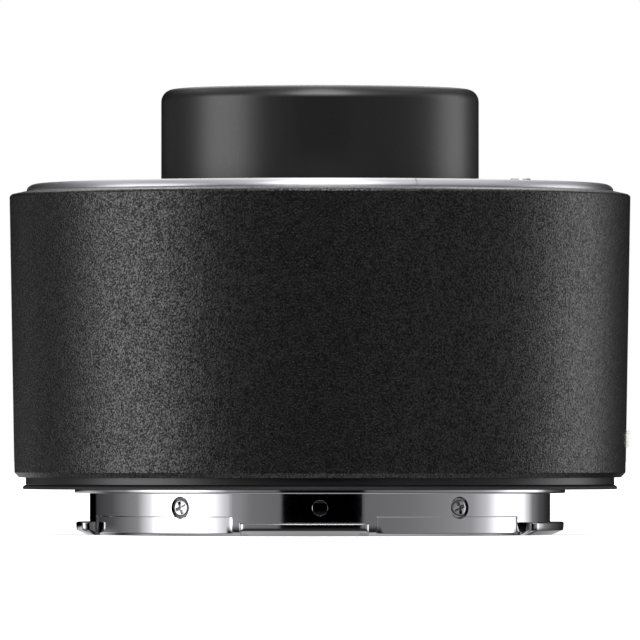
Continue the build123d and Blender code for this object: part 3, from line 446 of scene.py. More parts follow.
def layout_tree():
    """Places a piece round the axis, at equal steps on a circle."""
    tree, given, identifiers = new_tree("placed_round_the_axis", (
        ("Piece", "Geometry", None),
        ("Count", "Int", 4),
        ("Circle", "Float", 10 * MM),
        ("Height", "Float", 0.0),
        ("Start", "Float", 0.0),
        ("Step", "Float", QUARTER_TURN),
        ("Material", "Material", None),
    ))
    index = add(tree, "GeometryNodeInputIndex").outputs[0]
    degrees = add(tree, "ShaderNodeMath", {
        0: index, 1: given["Step"], 2: given["Start"],
    }, operation="MULTIPLY_ADD").outputs[0]
    turn = add(tree, "ShaderNodeMath", {0: degrees}, operation="RADIANS").outputs[0]
    facing = add(tree, "ShaderNodeMath", {0: turn, 1: math.pi / 2}, operation="SUBTRACT").outputs[0]
    turning = add(tree, "ShaderNodeCombineXYZ", {"Z": facing}).outputs[0]
    arm = add(tree, "ShaderNodeCombineXYZ", {"X": given["Circle"], "Z": given["Height"]}).outputs[0]
    spot = add(tree, "ShaderNodeVectorRotate", {
        "Vector": arm, "Angle": facing,
    }, rotation_type="Z_AXIS").outputs[0]
    points = add(tree, "GeometryNodePoints", {"Count": given["Count"], "Position": spot}).outputs[0]
    laid = add(tree, "GeometryNodeInstanceOnPoints", {
        "Points": points, "Instance": given["Piece"], "Rotation": turning,
    })
    end_tree(tree, laid.outputs["Instances"], given["Material"])
    return tree, identifiers


def coil_tree():
    """A round-wire spring standing on its foot."""
    tree, given, identifiers = new_tree("round_wire_spring", (
        ("Piece", "Geometry", None),
        ("Mean Radius", "Float", 1 * MM),
        ("Wire Radius", "Float", 0.1 * MM),
        ("Length", "Float", 5 * MM),
        ("Turns", "Float", 6.0),
        ("Material", "Material", None),
    ))
    route = add(tree, "GeometryNodeCurveSpiral", {
        "Resolution": 20, "Rotations": given["Turns"], "Start Radius": given["Mean Radius"],
        "End Radius": given["Mean Radius"], "Height": given["Length"],
    }).outputs["Curve"]
    wire = add(tree, "GeometryNodeCurvePrimitiveCircle", {
        "Resolution": 8, "Radius": given["Wire Radius"],
    }).outputs["Curve"]
    swept = add(tree, "GeometryNodeCurveToMesh", {
        "Curve": route, "Profile Curve": wire, "Fill Caps": True,
    })
    end_tree(tree, swept.outputs["Mesh"], given["Material"])
    return tree, identifiers


def run_tree(piece, name, build_tree, **values):
    """Runs a tree on a piece and leaves the result as its plain mesh."""
    if name not in TREES:
        TREES[name] = build_tree()
    tree, identifiers = TREES[name]
    modifier = piece.modifiers.new(name, "NODES")
    modifier.node_group = tree
    for label, value in values.items():
        modifier[identifiers[label.replace("_", " ")]] = value
    return settle(piece)


def laid_round(name, unit, slot_name, circle, height, runs):
    """Lays copies of a unit piece round the axis in runs of (start, step, count), as one mesh."""
    copies = []
    for start, step, count in runs:
        copy = bpy.data.objects.new(name + "_run", unit.data.copy())
        bpy.context.scene.collection.objects.link(copy)
        copies.append(run_tree(
            copy, "layout", layout_tree, Count=count, Circle=circle, Height=height,
            Start=start, Step=step, Material=finish(slot_name),
        ))
    bpy.data.objects.remove(unit)
    return join(name, *copies)


def coil(name, slot_name, mean, wire, length, turns, foot):
    """A spring on the axis of its own place, its foot at a height."""
    piece = run_tree(
        linked(name, bmesh.new()), "coil", coil_tree, Mean_Radius=mean, Wire_Radius=wire,
        Length=length - 2 * wire, Turns=float(turns), Material=finish(slot_name),
    )
    piece.data.transform(Matrix.Translation((0.0, 0.0, foot + wire)))
    return piece


# Screws

def cross_cutters(head, depth, face):
    """The two tapered arms of a cross recess, below a face at the given height."""
    half, width = 0.66 * head, 0.19 * head
    top = [(half, width), (-half, width), (-half, -width), (half, -width)]
    sections = ((1.06, face + 0.2 * head), (1.0, face), (0.62, face - depth))
    cutters = []
    for turn in (20.0, 20.0 + QUARTER_TURN):
        loops = [[(x * grow, y * grow, z) for x, y in top] for grow, z in sections]
        arm = skin("recess", loops, wrap=False)
        arm.data.transform(Matrix.Rotation(math.radians(turn), 4, "Z"))
        cutters.append(arm)
    return cutters


def faced(screw, facing):
    """Turns a screw, made with its head up, to face down or outwards."""
    if facing != "up":
        turn, axis = {"down": (HALF_TURN, "X"), "out": (QUARTER_TURN, "Y")}[facing]
        screw.data.transform(Matrix.Rotation(math.radians(turn), 4, axis))
    return screw


def shaft_end(shaft, length):
    """The last two corners of a screw's outline."""
    return [(shaft, -length), (0.0, -length)]


def flat_screw(head, depth, shaft, length, facing="up"):
    """A countersunk screw, its face at zero."""
    edge = 0.08 * head
    outline = [(0.0, 0.0), (head - edge, 0.0), (head, -edge), (shaft, -depth)]
    screw = turned("screw", outline + shaft_end(shaft, length), SCREW_SIDES)
    return faced(carve(screw, *cross_cutters(head, 0.6 * depth, 0.0)), facing)


def pan_screw(head, height, shaft, length, facing="up"):
    """A pan-headed screw, the seat of its head at zero."""
    dome = ((0.0, 1.0), (0.4, 0.99), (0.7, 0.95), (0.88, 0.86))
    outline = [(share * head, rise * height) for share, rise in dome]
    outline += [(head, 0.62 * height, 0.12 * height), (head, 0.0), (shaft, 0.0)]
    screw = turned("screw", rounded(outline + shaft_end(shaft, length), 3), SCREW_SIDES)
    return faced(carve(screw, *cross_cutters(head, 1.2 * height, height)), facing)


def countersink(head, depth, shaft, length, matrix):
    """A cutter for a countersunk screw, its face at zero."""
    outline = [(0.0, OVERRUN), (head, OVERRUN), (head, 0.0), (shaft, -depth)]
    return turned("countersink", outline + shaft_end(shaft, length), HOLE_SIDES, matrix)


def screw_group(name, unit, body, slot_name, circle, height, runs, node):
    """A group of like screws on one body."""
    return dress(laid_round(name, unit, slot_name, circle, height, runs), body, slot_name, node)


# Finishes

def start(name, base, roughness, metallic=0.0, constants=None):
    """A new material: gives it, its tree, its shader and the object coordinates."""
    material = bpy.data.materials.new(name)
    material.use_nodes = True
    tree = material.node_tree
    shader = tree.nodes["Principled BSDF"]
    plain = {"Base Color": tuple(base)[:3] + (1.0,), "Roughness": roughness, "Metallic": metallic}
    for socket, value in {**plain, **(constants or {})}.items():
        shader.inputs[socket].default_value = value
    return material, tree, shader, add(tree, "ShaderNodeTexCoord").outputs["Object"]


def noise(tree, where, size, detail):
    """Noise whose features have a real size in metres."""
    return add(tree, "ShaderNodeTexNoise", {
        "Vector": where, "Scale": 1 / size, "Detail": detail,
    }).outputs["Fac"]


def spread(tree, value, low, high, start_at=0.3, end_at=0.7):
    """Maps the middle of a pattern to a range."""
    return add(tree, "ShaderNodeMapRange", {
        "Value": value, "From Min": start_at, "From Max": end_at, "To Min": low, "To Max": high,
    }).outputs["Result"]


def relief(tree, shader, height, depth):
    """Raises the surface by a pattern, its depth in metres."""
    bump = add(tree, "ShaderNodeBump", {"Height": height, "Distance": depth, "Strength": 1.0})
    tree.links.new(bump.outputs["Normal"], shader.inputs["Normal"])
    return bump


def tint(tree, shader, value, dark, light):
    """Varies the base colour between two colours by a pattern."""
    shades = ramp(tree, value, ((0.0, tuple(dark)[:3] + (1.0,)), (1.0, tuple(light)[:3] + (1.0,))))
    tree.links.new(shades, shader.inputs["Base Color"])


def times(base, share):
    """A colour made lighter or darker."""
    return tuple(min(1.0, channel * share) for channel in tuple(base)[:3])


def grain(size, detail):
    """A pattern of even grains, their size in millimetres."""
    return lambda tree, where: noise(tree, where, size * MM, detail)


def rolling_lines(size, detail, longer):
    """A pattern of lines along X, as rollers leave them: their size in millimetres and stretch."""
    def pattern(tree, where):
        scale = (1.0, longer, 1.0)
        stretched = add(tree, "ShaderNodeMapping", {"Vector": where, "Scale": scale}).outputs[0]
        return noise(tree, stretched, size * MM, detail)
    return pattern


def turning_lines(pitch):
    """A pattern of fine lines round the axis, as a lathe leaves them, with their pitch in mm."""
    def pattern(tree, where):
        parts = add(tree, "ShaderNodeSeparateXYZ", {0: where}).outputs
        flat = add(tree, "ShaderNodeCombineXYZ", {"X": parts["X"], "Y": parts["Y"]}).outputs[0]
        radius = add(tree, "ShaderNodeVectorMath", {0: flat}, operation="LENGTH").outputs["Value"]
        # The height counts for less than the radius, so that bevels show lines as well.
        along = add(tree, "ShaderNodeMath", {
            0: parts["Z"], 1: 0.83, 2: radius,
        }, operation="MULTIPLY_ADD").outputs[0]
        return add(tree, "ShaderNodeTexNoise", {
            "W": along, "Scale": 1 / (pitch * MM), "Detail": 2.0,
        }, noise_dimensions="1D").outputs["Fac"]
    return pattern


def patterned(
    name, base, roughness, cloud, shades, depth, metallic=0.0, tooth=None, gloss=None,
    gloss_by_tooth=False, constants=None,
):
    """A finish from patterns: cloud varies its colour, tooth its height, one of them its roughness.

    The base is a hex value or the name of a colour that a user may change. The shades are its
    darkest and lightest share, gloss is the range of the roughness, and depth is in millimetres."""
    base = linear(base) if base.startswith("#") else getattr(colours(), base)
    material, tree, shader, where = start(name, base, roughness, metallic, constants)
    clouds = cloud(tree, where)
    height = tooth(tree, where) if tooth else clouds
    tint(tree, shader, clouds, times(base, shades[0]), times(base, shades[1]))
    if gloss:
        source = height if gloss_by_tooth else clouds
        tree.links.new(spread(tree, source, *gloss), shader.inputs["Roughness"])
    relief(tree, shader, height, depth * MM)
    return material


def grained_paint():
    """Wrinkle-grain black enamel, baked on metal; the bevel at the mouth is turned smooth."""
    base = colours().paint
    material, tree, shader, where = start(
        "wrinkle_enamel_black", base, 0.3, constants={"IOR": 1.5},
    )
    # Grains are about 0.2 mm, and warped so that they run into short worms.
    worm, patch, drift, reach, depth = mm(0.19, 0.9, 0.5, 0.2, 0.036)
    bevel_start, bevel_end = mm(32.47, 32.55)
    drifts = add(tree, "ShaderNodeTexNoise", {"Vector": where, "Scale": 1 / drift, "Detail": 1.0})
    moved = add(tree, "ShaderNodeVectorMath", {
        0: drifts.outputs["Color"], 1: (reach,) * 3, 2: where,
    }, operation="MULTIPLY_ADD").outputs[0]
    worms = noise(tree, moved, worm, 1.0)
    patches = noise(tree, where, patch, 1.0)
    both = add(tree, "ShaderNodeMath", {
        0: patches, 1: 0.2, 2: worms,
    }, operation="MULTIPLY_ADD").outputs[0]
    height = add(tree, "ShaderNodeSeparateXYZ", {0: where}).outputs["Z"]
    grained = spread(tree, height, 1.0, 0.0, bevel_start, bevel_end)
    # The base colour follows the grain's height: lighter ridge tops are a painted glint and darker
    # hollows are painted shade, over a faint patchy tone of the paint itself.
    tint(tree, shader, spread(tree, both, 0.0, 1.0, 0.45, 0.8), times(base, 0.6), times(base, 1.6))
    tree.links.new(spread(tree, both, 0.16, 1.0, 0.49, 0.79), shader.inputs["Specular IOR Level"])
    tree.links.new(spread(tree, worms, 0.34, 0.24), shader.inputs["Roughness"])
    bump = relief(tree, shader, worms, depth)
    tree.links.new(grained, bump.inputs["Strength"])
    return material


def solder_mask():
    """Green solder mask over copper: glossy film, lighter where tracks run under it."""
    material, tree, shader, where = start("solder_mask_green", linear("#0F4A28"), 0.28)
    tracks = add(tree, "ShaderNodeTexBrick", {
        "Vector": where, "Scale": 1 / (6 * MM),
        "Mortar Size": 0.02, "Brick Width": 0.32, "Row Height": 0.11,
        "Color1": linear("#0E4526"), "Color2": linear("#114E2B"), "Mortar": linear("#1C6B3A"),
    })
    tree.links.new(tracks.outputs["Color"], shader.inputs["Base Color"])
    relief(tree, shader, tracks.outputs["Fac"], 0.02 * MM)
    return material


def polyimide_film():
    """Amber polyimide film with copper tracks showing through as darker stripes."""
    material, tree, shader, where = start("polyimide_film_amber", linear("#B9701F"), 0.25)
    stripes = add(tree, "ShaderNodeTexWave", {
        "Vector": where, "Scale": 1 / (6.3 * MM), "Distortion": 0.0,
    }, wave_type="BANDS", bands_direction="X").outputs["Fac"]
    tint(tree, shader, stripes, linear("#8E4E12"), linear("#C98A34"))
    relief(tree, shader, stripes, 0.01 * MM)
    return material


def coated_glass():
    """Optical glass with a thin anti-reflection coat that leaves green and violet reflections."""
    material, tree, shader, where = start("optical_glass_coated", WHITE, 0.0, constants={
        "IOR": 1.62, "Transmission Weight": 1.0,
        "Thin Film Thickness": 380.0, "Thin Film IOR": 1.38,
    })
    haze = noise(tree, where, 5 * MM, 2.0)
    tree.links.new(spread(tree, haze, 0.0, 0.012), shader.inputs["Roughness"])
    tint(tree, shader, haze, (0.97, 1.0, 0.985), WHITE)
    return material


FINISHES = {
    "shell_paint": grained_paint,
    "board_green": solder_mask,
    "flex_amber": polyimide_film,
    "coated_glass": coated_glass,
    # Black anodised aluminium, bead-blasted: soft, even highlights with a very fine tooth.
    "satin_black": dict(
        name="anodised_aluminium_satin_black", base="nose", roughness=0.36, cloud=grain(6.0, 2.0),
        shades=(0.92, 1.1), tooth=grain(0.12, 2.0), gloss=(0.27, 0.33), gloss_by_tooth=True,
        depth=0.0035, constants={"Specular IOR Level": 0.7},
    ),
    # Moulded black nitrile rubber: dull, with faint bloom.
    "seal_rubber": dict(
        name="nitrile_rubber_black", base="#161616", roughness=0.6, cloud=grain(3.0, 3.0),
        shades=(0.8, 1.5), tooth=grain(0.2, 2.0), depth=0.006,
    ),
    # Chrome-plated brass, turned and polished: a mirror with traces of the lathe.
    "bayonet_chrome": dict(
        name="chrome_plate_polished", base="chrome", roughness=0.06, metallic=1.0,
        cloud=grain(4.0, 4.0), shades=(0.94, 1.0), tooth=turning_lines(0.16), gloss=(0.045, 0.1),
        depth=0.0006,
    ),
    # Fine-turned nickel plate: lines round the axis spread each highlight across them.
    "ring_metal": dict(
        name="nickel_plate_fine_turned", base="ring", roughness=0.4, metallic=1.0,
        cloud=turning_lines(0.2), shades=(0.9, 1.0), gloss=(0.33, 0.41), depth=0.004,
        constants={"Anisotropic": 0.85, "Anisotropic Rotation": 0.25},
    ),
    # Nickel-plated steel, tumbled: bright with soft, uneven gloss.
    "screw_plate": dict(
        name="nickel_plated_steel", base="#DBDADD", roughness=0.2, metallic=1.0,
        cloud=grain(0.35, 3.0), shades=(0.86, 1.0), gloss=(0.1, 0.22), depth=0.004,
    ),
    # Black oxide steel: dark, oily sheen with brown-black cloud.
    "black_screw": dict(
        name="black_oxide_steel", base="#2A2A2C", roughness=0.36, metallic=1.0,
        cloud=grain(0.5, 3.0), shades=(0.6, 1.5), gloss=(0.3, 0.45), depth=0.004,
    ),
    # Rolled brass shim: straight rolling lines across the sheet.
    "shim_brass": dict(
        name="rolled_brass", base="#C9A659", roughness=0.3, metallic=1.0,
        cloud=rolling_lines(2.0, 3.0, 14.0), shades=(0.85, 1.0), depth=0.003,
    ),
    # Glass-filled black nylon with a spark-eroded mould texture: matt, slightly grey grain.
    "baffle_black": dict(
        name="filled_nylon_matt_black", base="#1A1A1B", roughness=0.55, cloud=grain(0.16, 2.0),
        shades=(0.8, 1.5), gloss=(0.5, 0.65), depth=0.012,
    ),
    # Hard gold plate over nickel: warm, bright, with faint contact rubs.
    "contact_gold": dict(
        name="hard_gold_plate", base="#E3B65A", roughness=0.2, metallic=1.0, cloud=grain(0.4, 3.0),
        shades=(0.88, 1.0), gloss=(0.14, 0.3), depth=0.003,
    ),
    # Black anodised aluminium, as machined: tool lines under a dull black.
    "frame_metal": dict(
        name="anodised_aluminium_machined", base="#232325", roughness=0.42,
        cloud=turning_lines(0.25), shades=(0.75, 1.4), gloss=(0.36, 0.5), depth=0.006,
    ),
    # Bright-drawn spring steel: fine draw marks.
    "spring_steel": dict(
        name="spring_steel_bright", base="#B9B9B8", roughness=0.25, metallic=1.0,
        cloud=grain(0.22, 3.0), shades=(0.8, 1.0), gloss=(0.18, 0.34), depth=0.004,
    ),
    # Ground and polished stainless steel.
    "pin_steel": dict(
        name="stainless_steel_polished", base="#D2D1CF", roughness=0.16, metallic=1.0,
        cloud=grain(0.3, 2.0), shades=(0.9, 1.0), gloss=(0.11, 0.22), depth=0.002,
    ),
    # Pressed steel, chemically blackened: dark with brighter rubbed spots.
    "lever_steel": dict(
        name="blackened_pressed_steel", base="#47474A", roughness=0.4, metallic=1.0,
        cloud=grain(1.2, 4.0), shades=(0.6, 1.8), tooth=grain(0.2, 2.0), gloss=(0.32, 0.5),
        depth=0.004,
    ),
    # Black moulded epoxy of component bodies: fine matt grain.
    "chip_black": dict(
        name="moulding_epoxy_black", base="#1D1D1E", roughness=0.5, cloud=grain(0.1, 2.0),
        shades=(0.8, 1.4), depth=0.006,
    ),
    # Natural nylon of the cable sockets: warm white with faint flow marks.
    "socket_white": dict(
        name="nylon_natural", base="#E6E0CF", roughness=0.4, cloud=grain(1.5, 2.0),
        shades=(0.9, 1.0), depth=0.004,
    ),
    # White moulded acetal: dense, glossy plastic.
    "bead_white": dict(
        name="acetal_white", base="bead", roughness=0.3, cloud=grain(0.8, 2.0), shades=(0.95, 1.0),
        tooth=grain(0.15, 1.0), depth=0.002,
    ),
}
MADE_FINISHES = {}


def finish(slot_name):
    """The material of a slot, made when it is first asked for."""
    if slot_name not in MADE_FINISHES:
        recipe = FINISHES[slot_name]
        MADE_FINISHES[slot_name] = recipe() if callable(recipe) else patterned(**recipe)
    return MADE_FINISHES[slot_name]


def colours():
    """The colours that a user may change."""
    return bpy.context.scene.converter_colours


# Operators

class ConverterOperator(bpy.types.Operator):
    """Makes one piece or one group of pieces of the teleconverter."""
    bl_options = {"REGISTER", "UNDO"}

    def execute(self, context):
        self.make(context.scene)
        return {"FINISHED"}


class OuterBarrel(ConverterOperator):
    """Makes the grained outer barrel with its bead hole and the lever's window"""
    bl_idname = "converter.outer_barrel"
    bl_label = "Outer Barrel"

    def make(self, scene):
        size = scene.converter_barrel
        ledge = scene.converter_ring.foot
        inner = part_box("main_frame")[1].y + 0.05 * MM
        lip, slope, foot_lip = mm(0.76, 0.85, 2.83)
        barrel = turned("outer_barrel_shell", rounded([
            (size.bore, size.foot, 0.1 * MM),
            (size.foot_radius - size.chamfer, size.foot, 0.08 * MM),
            (size.foot_radius, size.foot + size.chamfer, 0.12 * MM),
            (size.radius, size.shoulder, 0.26 * MM),
            (size.rim_radius, size.rim),
            (size.mouth_radius, size.mouth, 0.06 * MM),
            (size.mouth_radius, ledge),
            (inner, ledge),
            (inner, ledge - lip),
            (size.bore, ledge - lip - slope),
            (size.bore, foot_lip + lip),
            (inner, foot_lip + lip),
            (inner, foot_lip),
            (size.bore, foot_lip),
        ]), 384)
        inside, outside = size.bore - OVERRUN, size.radius + OVERRUN
        foot, top, bead_hole = mm(26.57, 29.53, 3.0)
        window_start, window_end = 131.4, 147.6
        window = [(inside, foot), (outside, foot), (outside, top), (inside, top)]
        bead_seat = outwards(BEAD_ANGLE, BEAD_FOOT, size.bead_height)
        carve(
            barrel,
            rod("bead_hole", size.bead_radius, 0.0, bead_hole, bead_seat),
            arc_block("lever_window", window, window_start, window_end),
        )
        dress(barrel, "body", "shell_paint", "outer_barrel")


class IndexBead(ConverterOperator):
    """Makes the white alignment bead"""
    bl_idname = "converter.index_bead"
    bl_label = "Index Bead"

    def make(self, scene):
        size = scene.converter_barrel
        length = size.radius - BEAD_FOOT
        radius = size.bead_radius
        edge = 0.33 * MM
        outline = rounded([(0.0, 0.0), (radius, 0.0), (radius, length, edge), (0.0, length)], 5)
        seat = outwards(BEAD_ANGLE, BEAD_FOOT, size.bead_height)
        bead = turned("white_index_bead", outline, 64, seat)
        dress(bead, "body", "bead_white", "index_bead")


class RearCover(ConverterOperator):
    """Makes the smooth neck ring and the rubber lip under it"""
    bl_idname = "converter.rear_cover"
    bl_label = "Rear Cover and Seal"

    def make(self, scene):
        inner, step, outer, shelf = mm(31.17, 31.69, 32.22, 29.66)
        foot, step_height, shelf_foot, top = mm(0.57, 0.9, 2.08, 2.83)
        cover = turned("rear_neck_cover", rounded([
            (inner, foot, 0.05 * MM), (step, foot), (step, step_height),
            (outer, step_height, 0.1 * MM), (outer, top), (shelf, top), (shelf, shelf_foot),
            (inner, shelf_foot),
        ]))
        dress(cover, "body", "satin_black", "rear_cover")
        lip, bevel = mm(32.53, 32.27)
        lip_foot, lip_top = mm(0.43, 0.72)
        seal = turned("rubber_dust_lip", rounded([
            (step, lip_foot, 0.08 * MM), (lip, lip_foot, 0.1 * MM), (lip, lip_top, 0.08 * MM),
            (bevel, step_height), (step, step_height),
        ], 3))
        dress(seal, "body", "seal_rubber", "dust_seal")


def bayonet_section(size, pocket, lug):
    """The bayonet's outline where a pocket and a lug have the given depth and reach."""
    chamfer, small, corner = mm(0.38, 0.1, 0.17)
    wall = size.radius - pocket
    foot_radius = size.radius - chamfer
    if lug > 0:
        reach = size.radius + lug
        edge, draft = min(0.19 * MM, lug), 0.045 * MM
        side, foot = -size.lug_side, min(size.lug_foot, reach)
    else:
        reach, edge, draft = wall, 0.0, 0.0
        side, foot = -size.depth + chamfer - pocket, foot_radius
    outline = [
        (size.bore, size.flange),
        (size.flange_radius, size.flange),
        (size.flange_radius, size.land),
        (size.land_radius, size.land),
    ]
    for sine, cosine in quarter(4):
        outline.append((size.land_radius - corner + corner * cosine, corner - corner * sine))
    outline += [
        (size.radius, 0.0),
        (size.radius, -size.pocket_top + 0.05 * MM),
        (wall, -size.pocket_top - 0.04 * MM),
        (wall, -size.lug_top),
    ]
    for sine, cosine in quarter(3):
        outline.append((reach - edge + edge * sine, -size.lug_top - edge + edge * cosine))
    return outline + [
        (reach - draft, side + 0.06 * MM),
        (reach - draft - 0.05 * MM, side - 0.04 * MM),
        (foot + 0.03 * MM, -size.depth + 0.05 * MM),
        (foot - 0.06 * MM, -size.depth),
        (foot_radius - 0.06 * MM, -size.depth),
        (size.bore + small, -size.depth),
        (size.bore, -size.depth + small),
    ]


def whole_degrees(start, end):
    """The whole degrees from a start up to an end."""
    return [float(angle) for angle in range(math.ceil(start), math.ceil(end))]


def bayonet_columns(size):
    """Angles round the bayonet with the pocket's depth and the lug's reach at each."""
    columns = {float(angle): (0.0, 0.0) for angle in range(-20, 340)}
    # The ends of a pocket rise to the wall within this angle.
    fade, fade_steps = 1.1, 6
    for start, end in POCKETS:
        for angle in columns:
            if start <= angle % FULL_TURN <= end or start <= angle <= end:
                columns[angle] = (size.pocket, 0.0)
        for side, base in ((1.0, start), (-1.0, end)):
            for step in range(fade_steps + 1):
                share = step / fade_steps
                depth = size.pocket * math.sqrt(1 - (1 - share) ** 2)
                columns[base + side * fade * share] = (depth, 0.0)
    full = size.lug_radius - size.radius
    corner = 0.7 * MM
    arc = math.degrees(corner / size.lug_radius)
    clear = arc + 0.3
    for start, end in LUGS:
        for angle in [angle for angle in columns if start <= angle <= end]:
            del columns[angle]
        columns[start - STEEP] = columns[end + STEEP] = (0.0, 0.0)
        for sine, cosine in quarter(9):
            shift = arc * (1 - cosine)
            columns[start + shift] = columns[end - shift] = (0.0, full - corner + corner * sine)
        for angle in whole_degrees(start + clear, end - clear):
            columns[angle] = (0.0, full)
    return sorted(columns.items())


class RearBayonet(ConverterOperator):
    """Makes the chromed bayonet with its lugs, pockets and screw holes, and the pin in its side"""
    bl_idname = "converter.rear_bayonet"
    bl_label = "Rear Bayonet"

    def make(self, scene):
        size = scene.converter_bayonet
        bayonet = skin("chrome_rear_bayonet", [
            [at(angle, r, z) for r, z in bayonet_section(size, pocket, lug)]
            for angle, (pocket, lug) in bayonet_columns(size)
        ])
        head_gap, head_depth, lock_radius, lock_depth = mm(0.12, 0.6, 1.28, 4.0)
        pin_radius, pin_hole, pin_length, pin_proud = mm(0.85, 0.86, 1.61, 0.03)
        front = outwards(0.0, size.radius, -size.screw_depth)
        over = Matrix.Rotation(math.pi, 4, "X")
        cutters = [
            rod("counterbore", size.screw_head + head_gap, -head_depth, OVERRUN,
                outwards(angle, size.radius, -size.screw_depth))
            for angle in SIDE_SCREW_ANGLES
        ] + [
            rod("pin_hole", pin_hole, -pin_length, OVERRUN, front),
            rod("lock_hole", lock_radius, -OVERRUN, lock_depth,
                place(LOCK_ANGLE, scene.converter_ring.pin_circle)),
        ] + [
            countersink(
                *mm(1.47, 0.76, 0.91, 3.0), place(angle, FLANGE_SCREW_CIRCLE, size.land) @ over,
            )
            for angle in run_angles(MOUNT_SCREW_RUN)
        ]
        carve(bayonet, *cutters)
        dress(bayonet, "body", "bayonet_chrome", "rear_bayonet")
        end, edge = pin_length + pin_proud, 0.045 * MM
        outline = rounded([(0.0, 0.0), (pin_radius, 0.0), (pin_radius, end, edge), (0.0, end)], 3)
        seat = outwards(0.0, size.radius - pin_length, -size.screw_depth)
        pin = turned("bayonet_side_pin", outline, HOLE_SIDES, seat)
        dress(pin, "body", "bayonet_chrome", "bayonet_stop_pin")


class BayonetScrews(ConverterOperator):
    """Makes the radial screws and the flange screws of the rear bayonet"""
    bl_idname = "converter.bayonet_screws"
    bl_label = "Bayonet Screws"

    def make(self, scene):
        size = scene.converter_bayonet
        sunk, head_height, shaft, tip = mm(0.076, 0.52, 0.57, 21.67)
        seat = size.radius - sunk - head_height
        first, last, rear = SIDE_SCREW_ANGLES
        screw_group(
            "radial_bayonet_screws",
            pan_screw(size.screw_head, head_height, shaft, seat - tip, "out"),
            "body", "screw_plate", seat, -size.screw_depth,
            [(first, last - first, 2), (rear, 0.0, 1)], "bayonet_side_screws",
        )
        screw_group(
            "rear_flange_screws", flat_screw(*FLANGE_SCREW, "down"), "body", "screw_plate",
            FLANGE_SCREW_CIRCLE, size.land, [MOUNT_SCREW_RUN], "rear_mount_screws",
        )


class RearBaffle(ConverterOperator):
    """Makes the light baffle, the contact block, its pads and its screws"""
    bl_idname = "converter.rear_baffle"
    bl_label = "Rear Baffle and Contacts"

    def make(self, scene):
        contacts = scene.converter_contacts
        dress_cad("rear_baffle", 0.09, "baffle_black")
        dress_cad("rear_contact_block", 0.05, "baffle_black")
        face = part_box("rear_contact_block")[0].z
        low, high, half_length, half_width, edge = mm(-0.05, 0.23, 0.895, 0.52, 0.05)
        loop = [
            (half_length, half_width), (-half_length, half_width),
            (-half_length, -half_width), (half_length, -half_width),
        ]
        pad = skin("pad", [[(x, y, z) for x, y in loop] for z in (low, high)], wrap=False)
        break_edges(pad, edge)
        pads = laid_round(
            "rear_gold_pads", pad, "contact_gold", contacts.circle, face, [contact_run(contacts)],
        )
        dress(pads, "body", "contact_gold", "rear_contact_pads")
        screw_group(
            "contact_block_screws", flat_screw(*BLOCK_SCREW, "down"), "body", "black_screw",
            contacts.circle, face, [(-34.0, 68.0, 2)], "rear_block_screws",
        )


def contact_run(contacts):
    """Where the row of contacts starts, their step and their number."""
    return -(contacts.count - 1) / 2 * contacts.pitch, contacts.pitch, contacts.count


def ring_gaps():
    """The gaps between the claws, which follow from the lugs of the rear bayonet."""
    turn, play = 40.0, 1.2
    return [(start + turn - play, end + turn + play) for start, end in LUGS]


def ring_columns(size):
    """Angles round the mount ring with the inner radius at each."""
    corner = 0.3 * MM
    arc = math.degrees(corner / size.throat)
    clear = 0.4
    columns = {float(angle): size.throat for angle in range(20, 380)}
    for start, end in ring_gaps():
        first, last = start - arc - clear, end + arc + clear
        for angle in [angle for angle in columns if first <= angle <= last]:
            del columns[angle]
        for sine, cosine in quarter(5):
            shift = arc * (1 - cosine)
            columns[start - shift] = columns[end + shift] = size.throat + corner - corner * sine
        columns[start + STEEP] = columns[end - STEEP] = size.gap
        for angle in whole_degrees(start + clear, end - clear):
            columns[angle] = size.gap
    return sorted(columns.items())


class MountRing(ConverterOperator):
    """Makes the bright front mount ring with its claws, and its four screws"""
    bl_idname = "converter.mount_ring"
    bl_label = "Front Mount Ring"

    def make(self, scene):
        size = scene.converter_ring
        chamfer = 0.19 * MM
        face = [(
            size.radius - size.round_width * (1 - cosine),
            size.seat - size.round_height * (1 - sine),
        ) for sine, cosine in quarter(10)]
        loops = []
        for angle, inner in ring_columns(size):
            outline = [
                (inner + chamfer, size.seat),
                (inner + 0.06 * MM, size.seat - 0.07 * MM),
                (inner, size.seat - chamfer),
                (inner, size.claw_foot),
                (size.skirt, size.claw_foot),
                (size.skirt, size.foot),
                (size.radius, size.foot),
            ] + face
            loops.append([at(angle, r, z) for r, z in outline])
        ring = skin("bright_front_mount_ring", loops)
        pin_gap, pin_depth = mm(0.06, 4.0)
        pin_place = place(LOCK_ANGLE, size.pin_circle, size.seat)
        carve(ring, rod("pin_hole", size.pin_radius + pin_gap, -pin_depth, OVERRUN, pin_place), *[
            countersink(*mm(1.57, 0.85, 0.91, 4.0), place(angle, size.screw_circle, size.seat))
            for angle in run_angles(MOUNT_SCREW_RUN)
        ])
        dress(ring, "body", "ring_metal", "front_mount_ring")
        screw_group(
            "front_ring_screws", flat_screw(*RING_SCREW), "body", "screw_plate",
            size.screw_circle, size.seat, [MOUNT_SCREW_RUN], "front_mount_screws",
        )


class ClawSprings(ConverterOperator):
    """Makes the spring leaves under the claws and their rivets"""
    bl_idname = "converter.claw_springs"
    bl_label = "Claw Springs"

    def make(self, scene):
        dress_cad("leaf_springs", 0.03, "spring_steel")
        gaps = ring_gaps()
        following = gaps[1:] + [(gaps[0][0] + FULL_TURN, gaps[0][1] + FULL_TURN)]
        # Two rivets hold each leaf, at equal angles from the middle of its claw.
        apart = 18.0
        runs = [
            ((gap[1] + after[0] - apart) / 2, apart, 2) for gap, after in zip(gaps, following)
        ]
        foot, top, radius, edge, circle = mm(-0.24, 0.85, 0.33, 0.05, 26.54)
        outline = rounded([(0.0, foot), (radius, foot, edge), (radius, top), (0.0, top)], 3)
        rivets = laid_round(
            "claw_rivets", turned("rivet", outline, 32), "spring_steel", circle,
            scene.converter_ring.claw_foot, runs,
        )
        dress(rivets, "body", "spring_steel", "leaf_rivets")


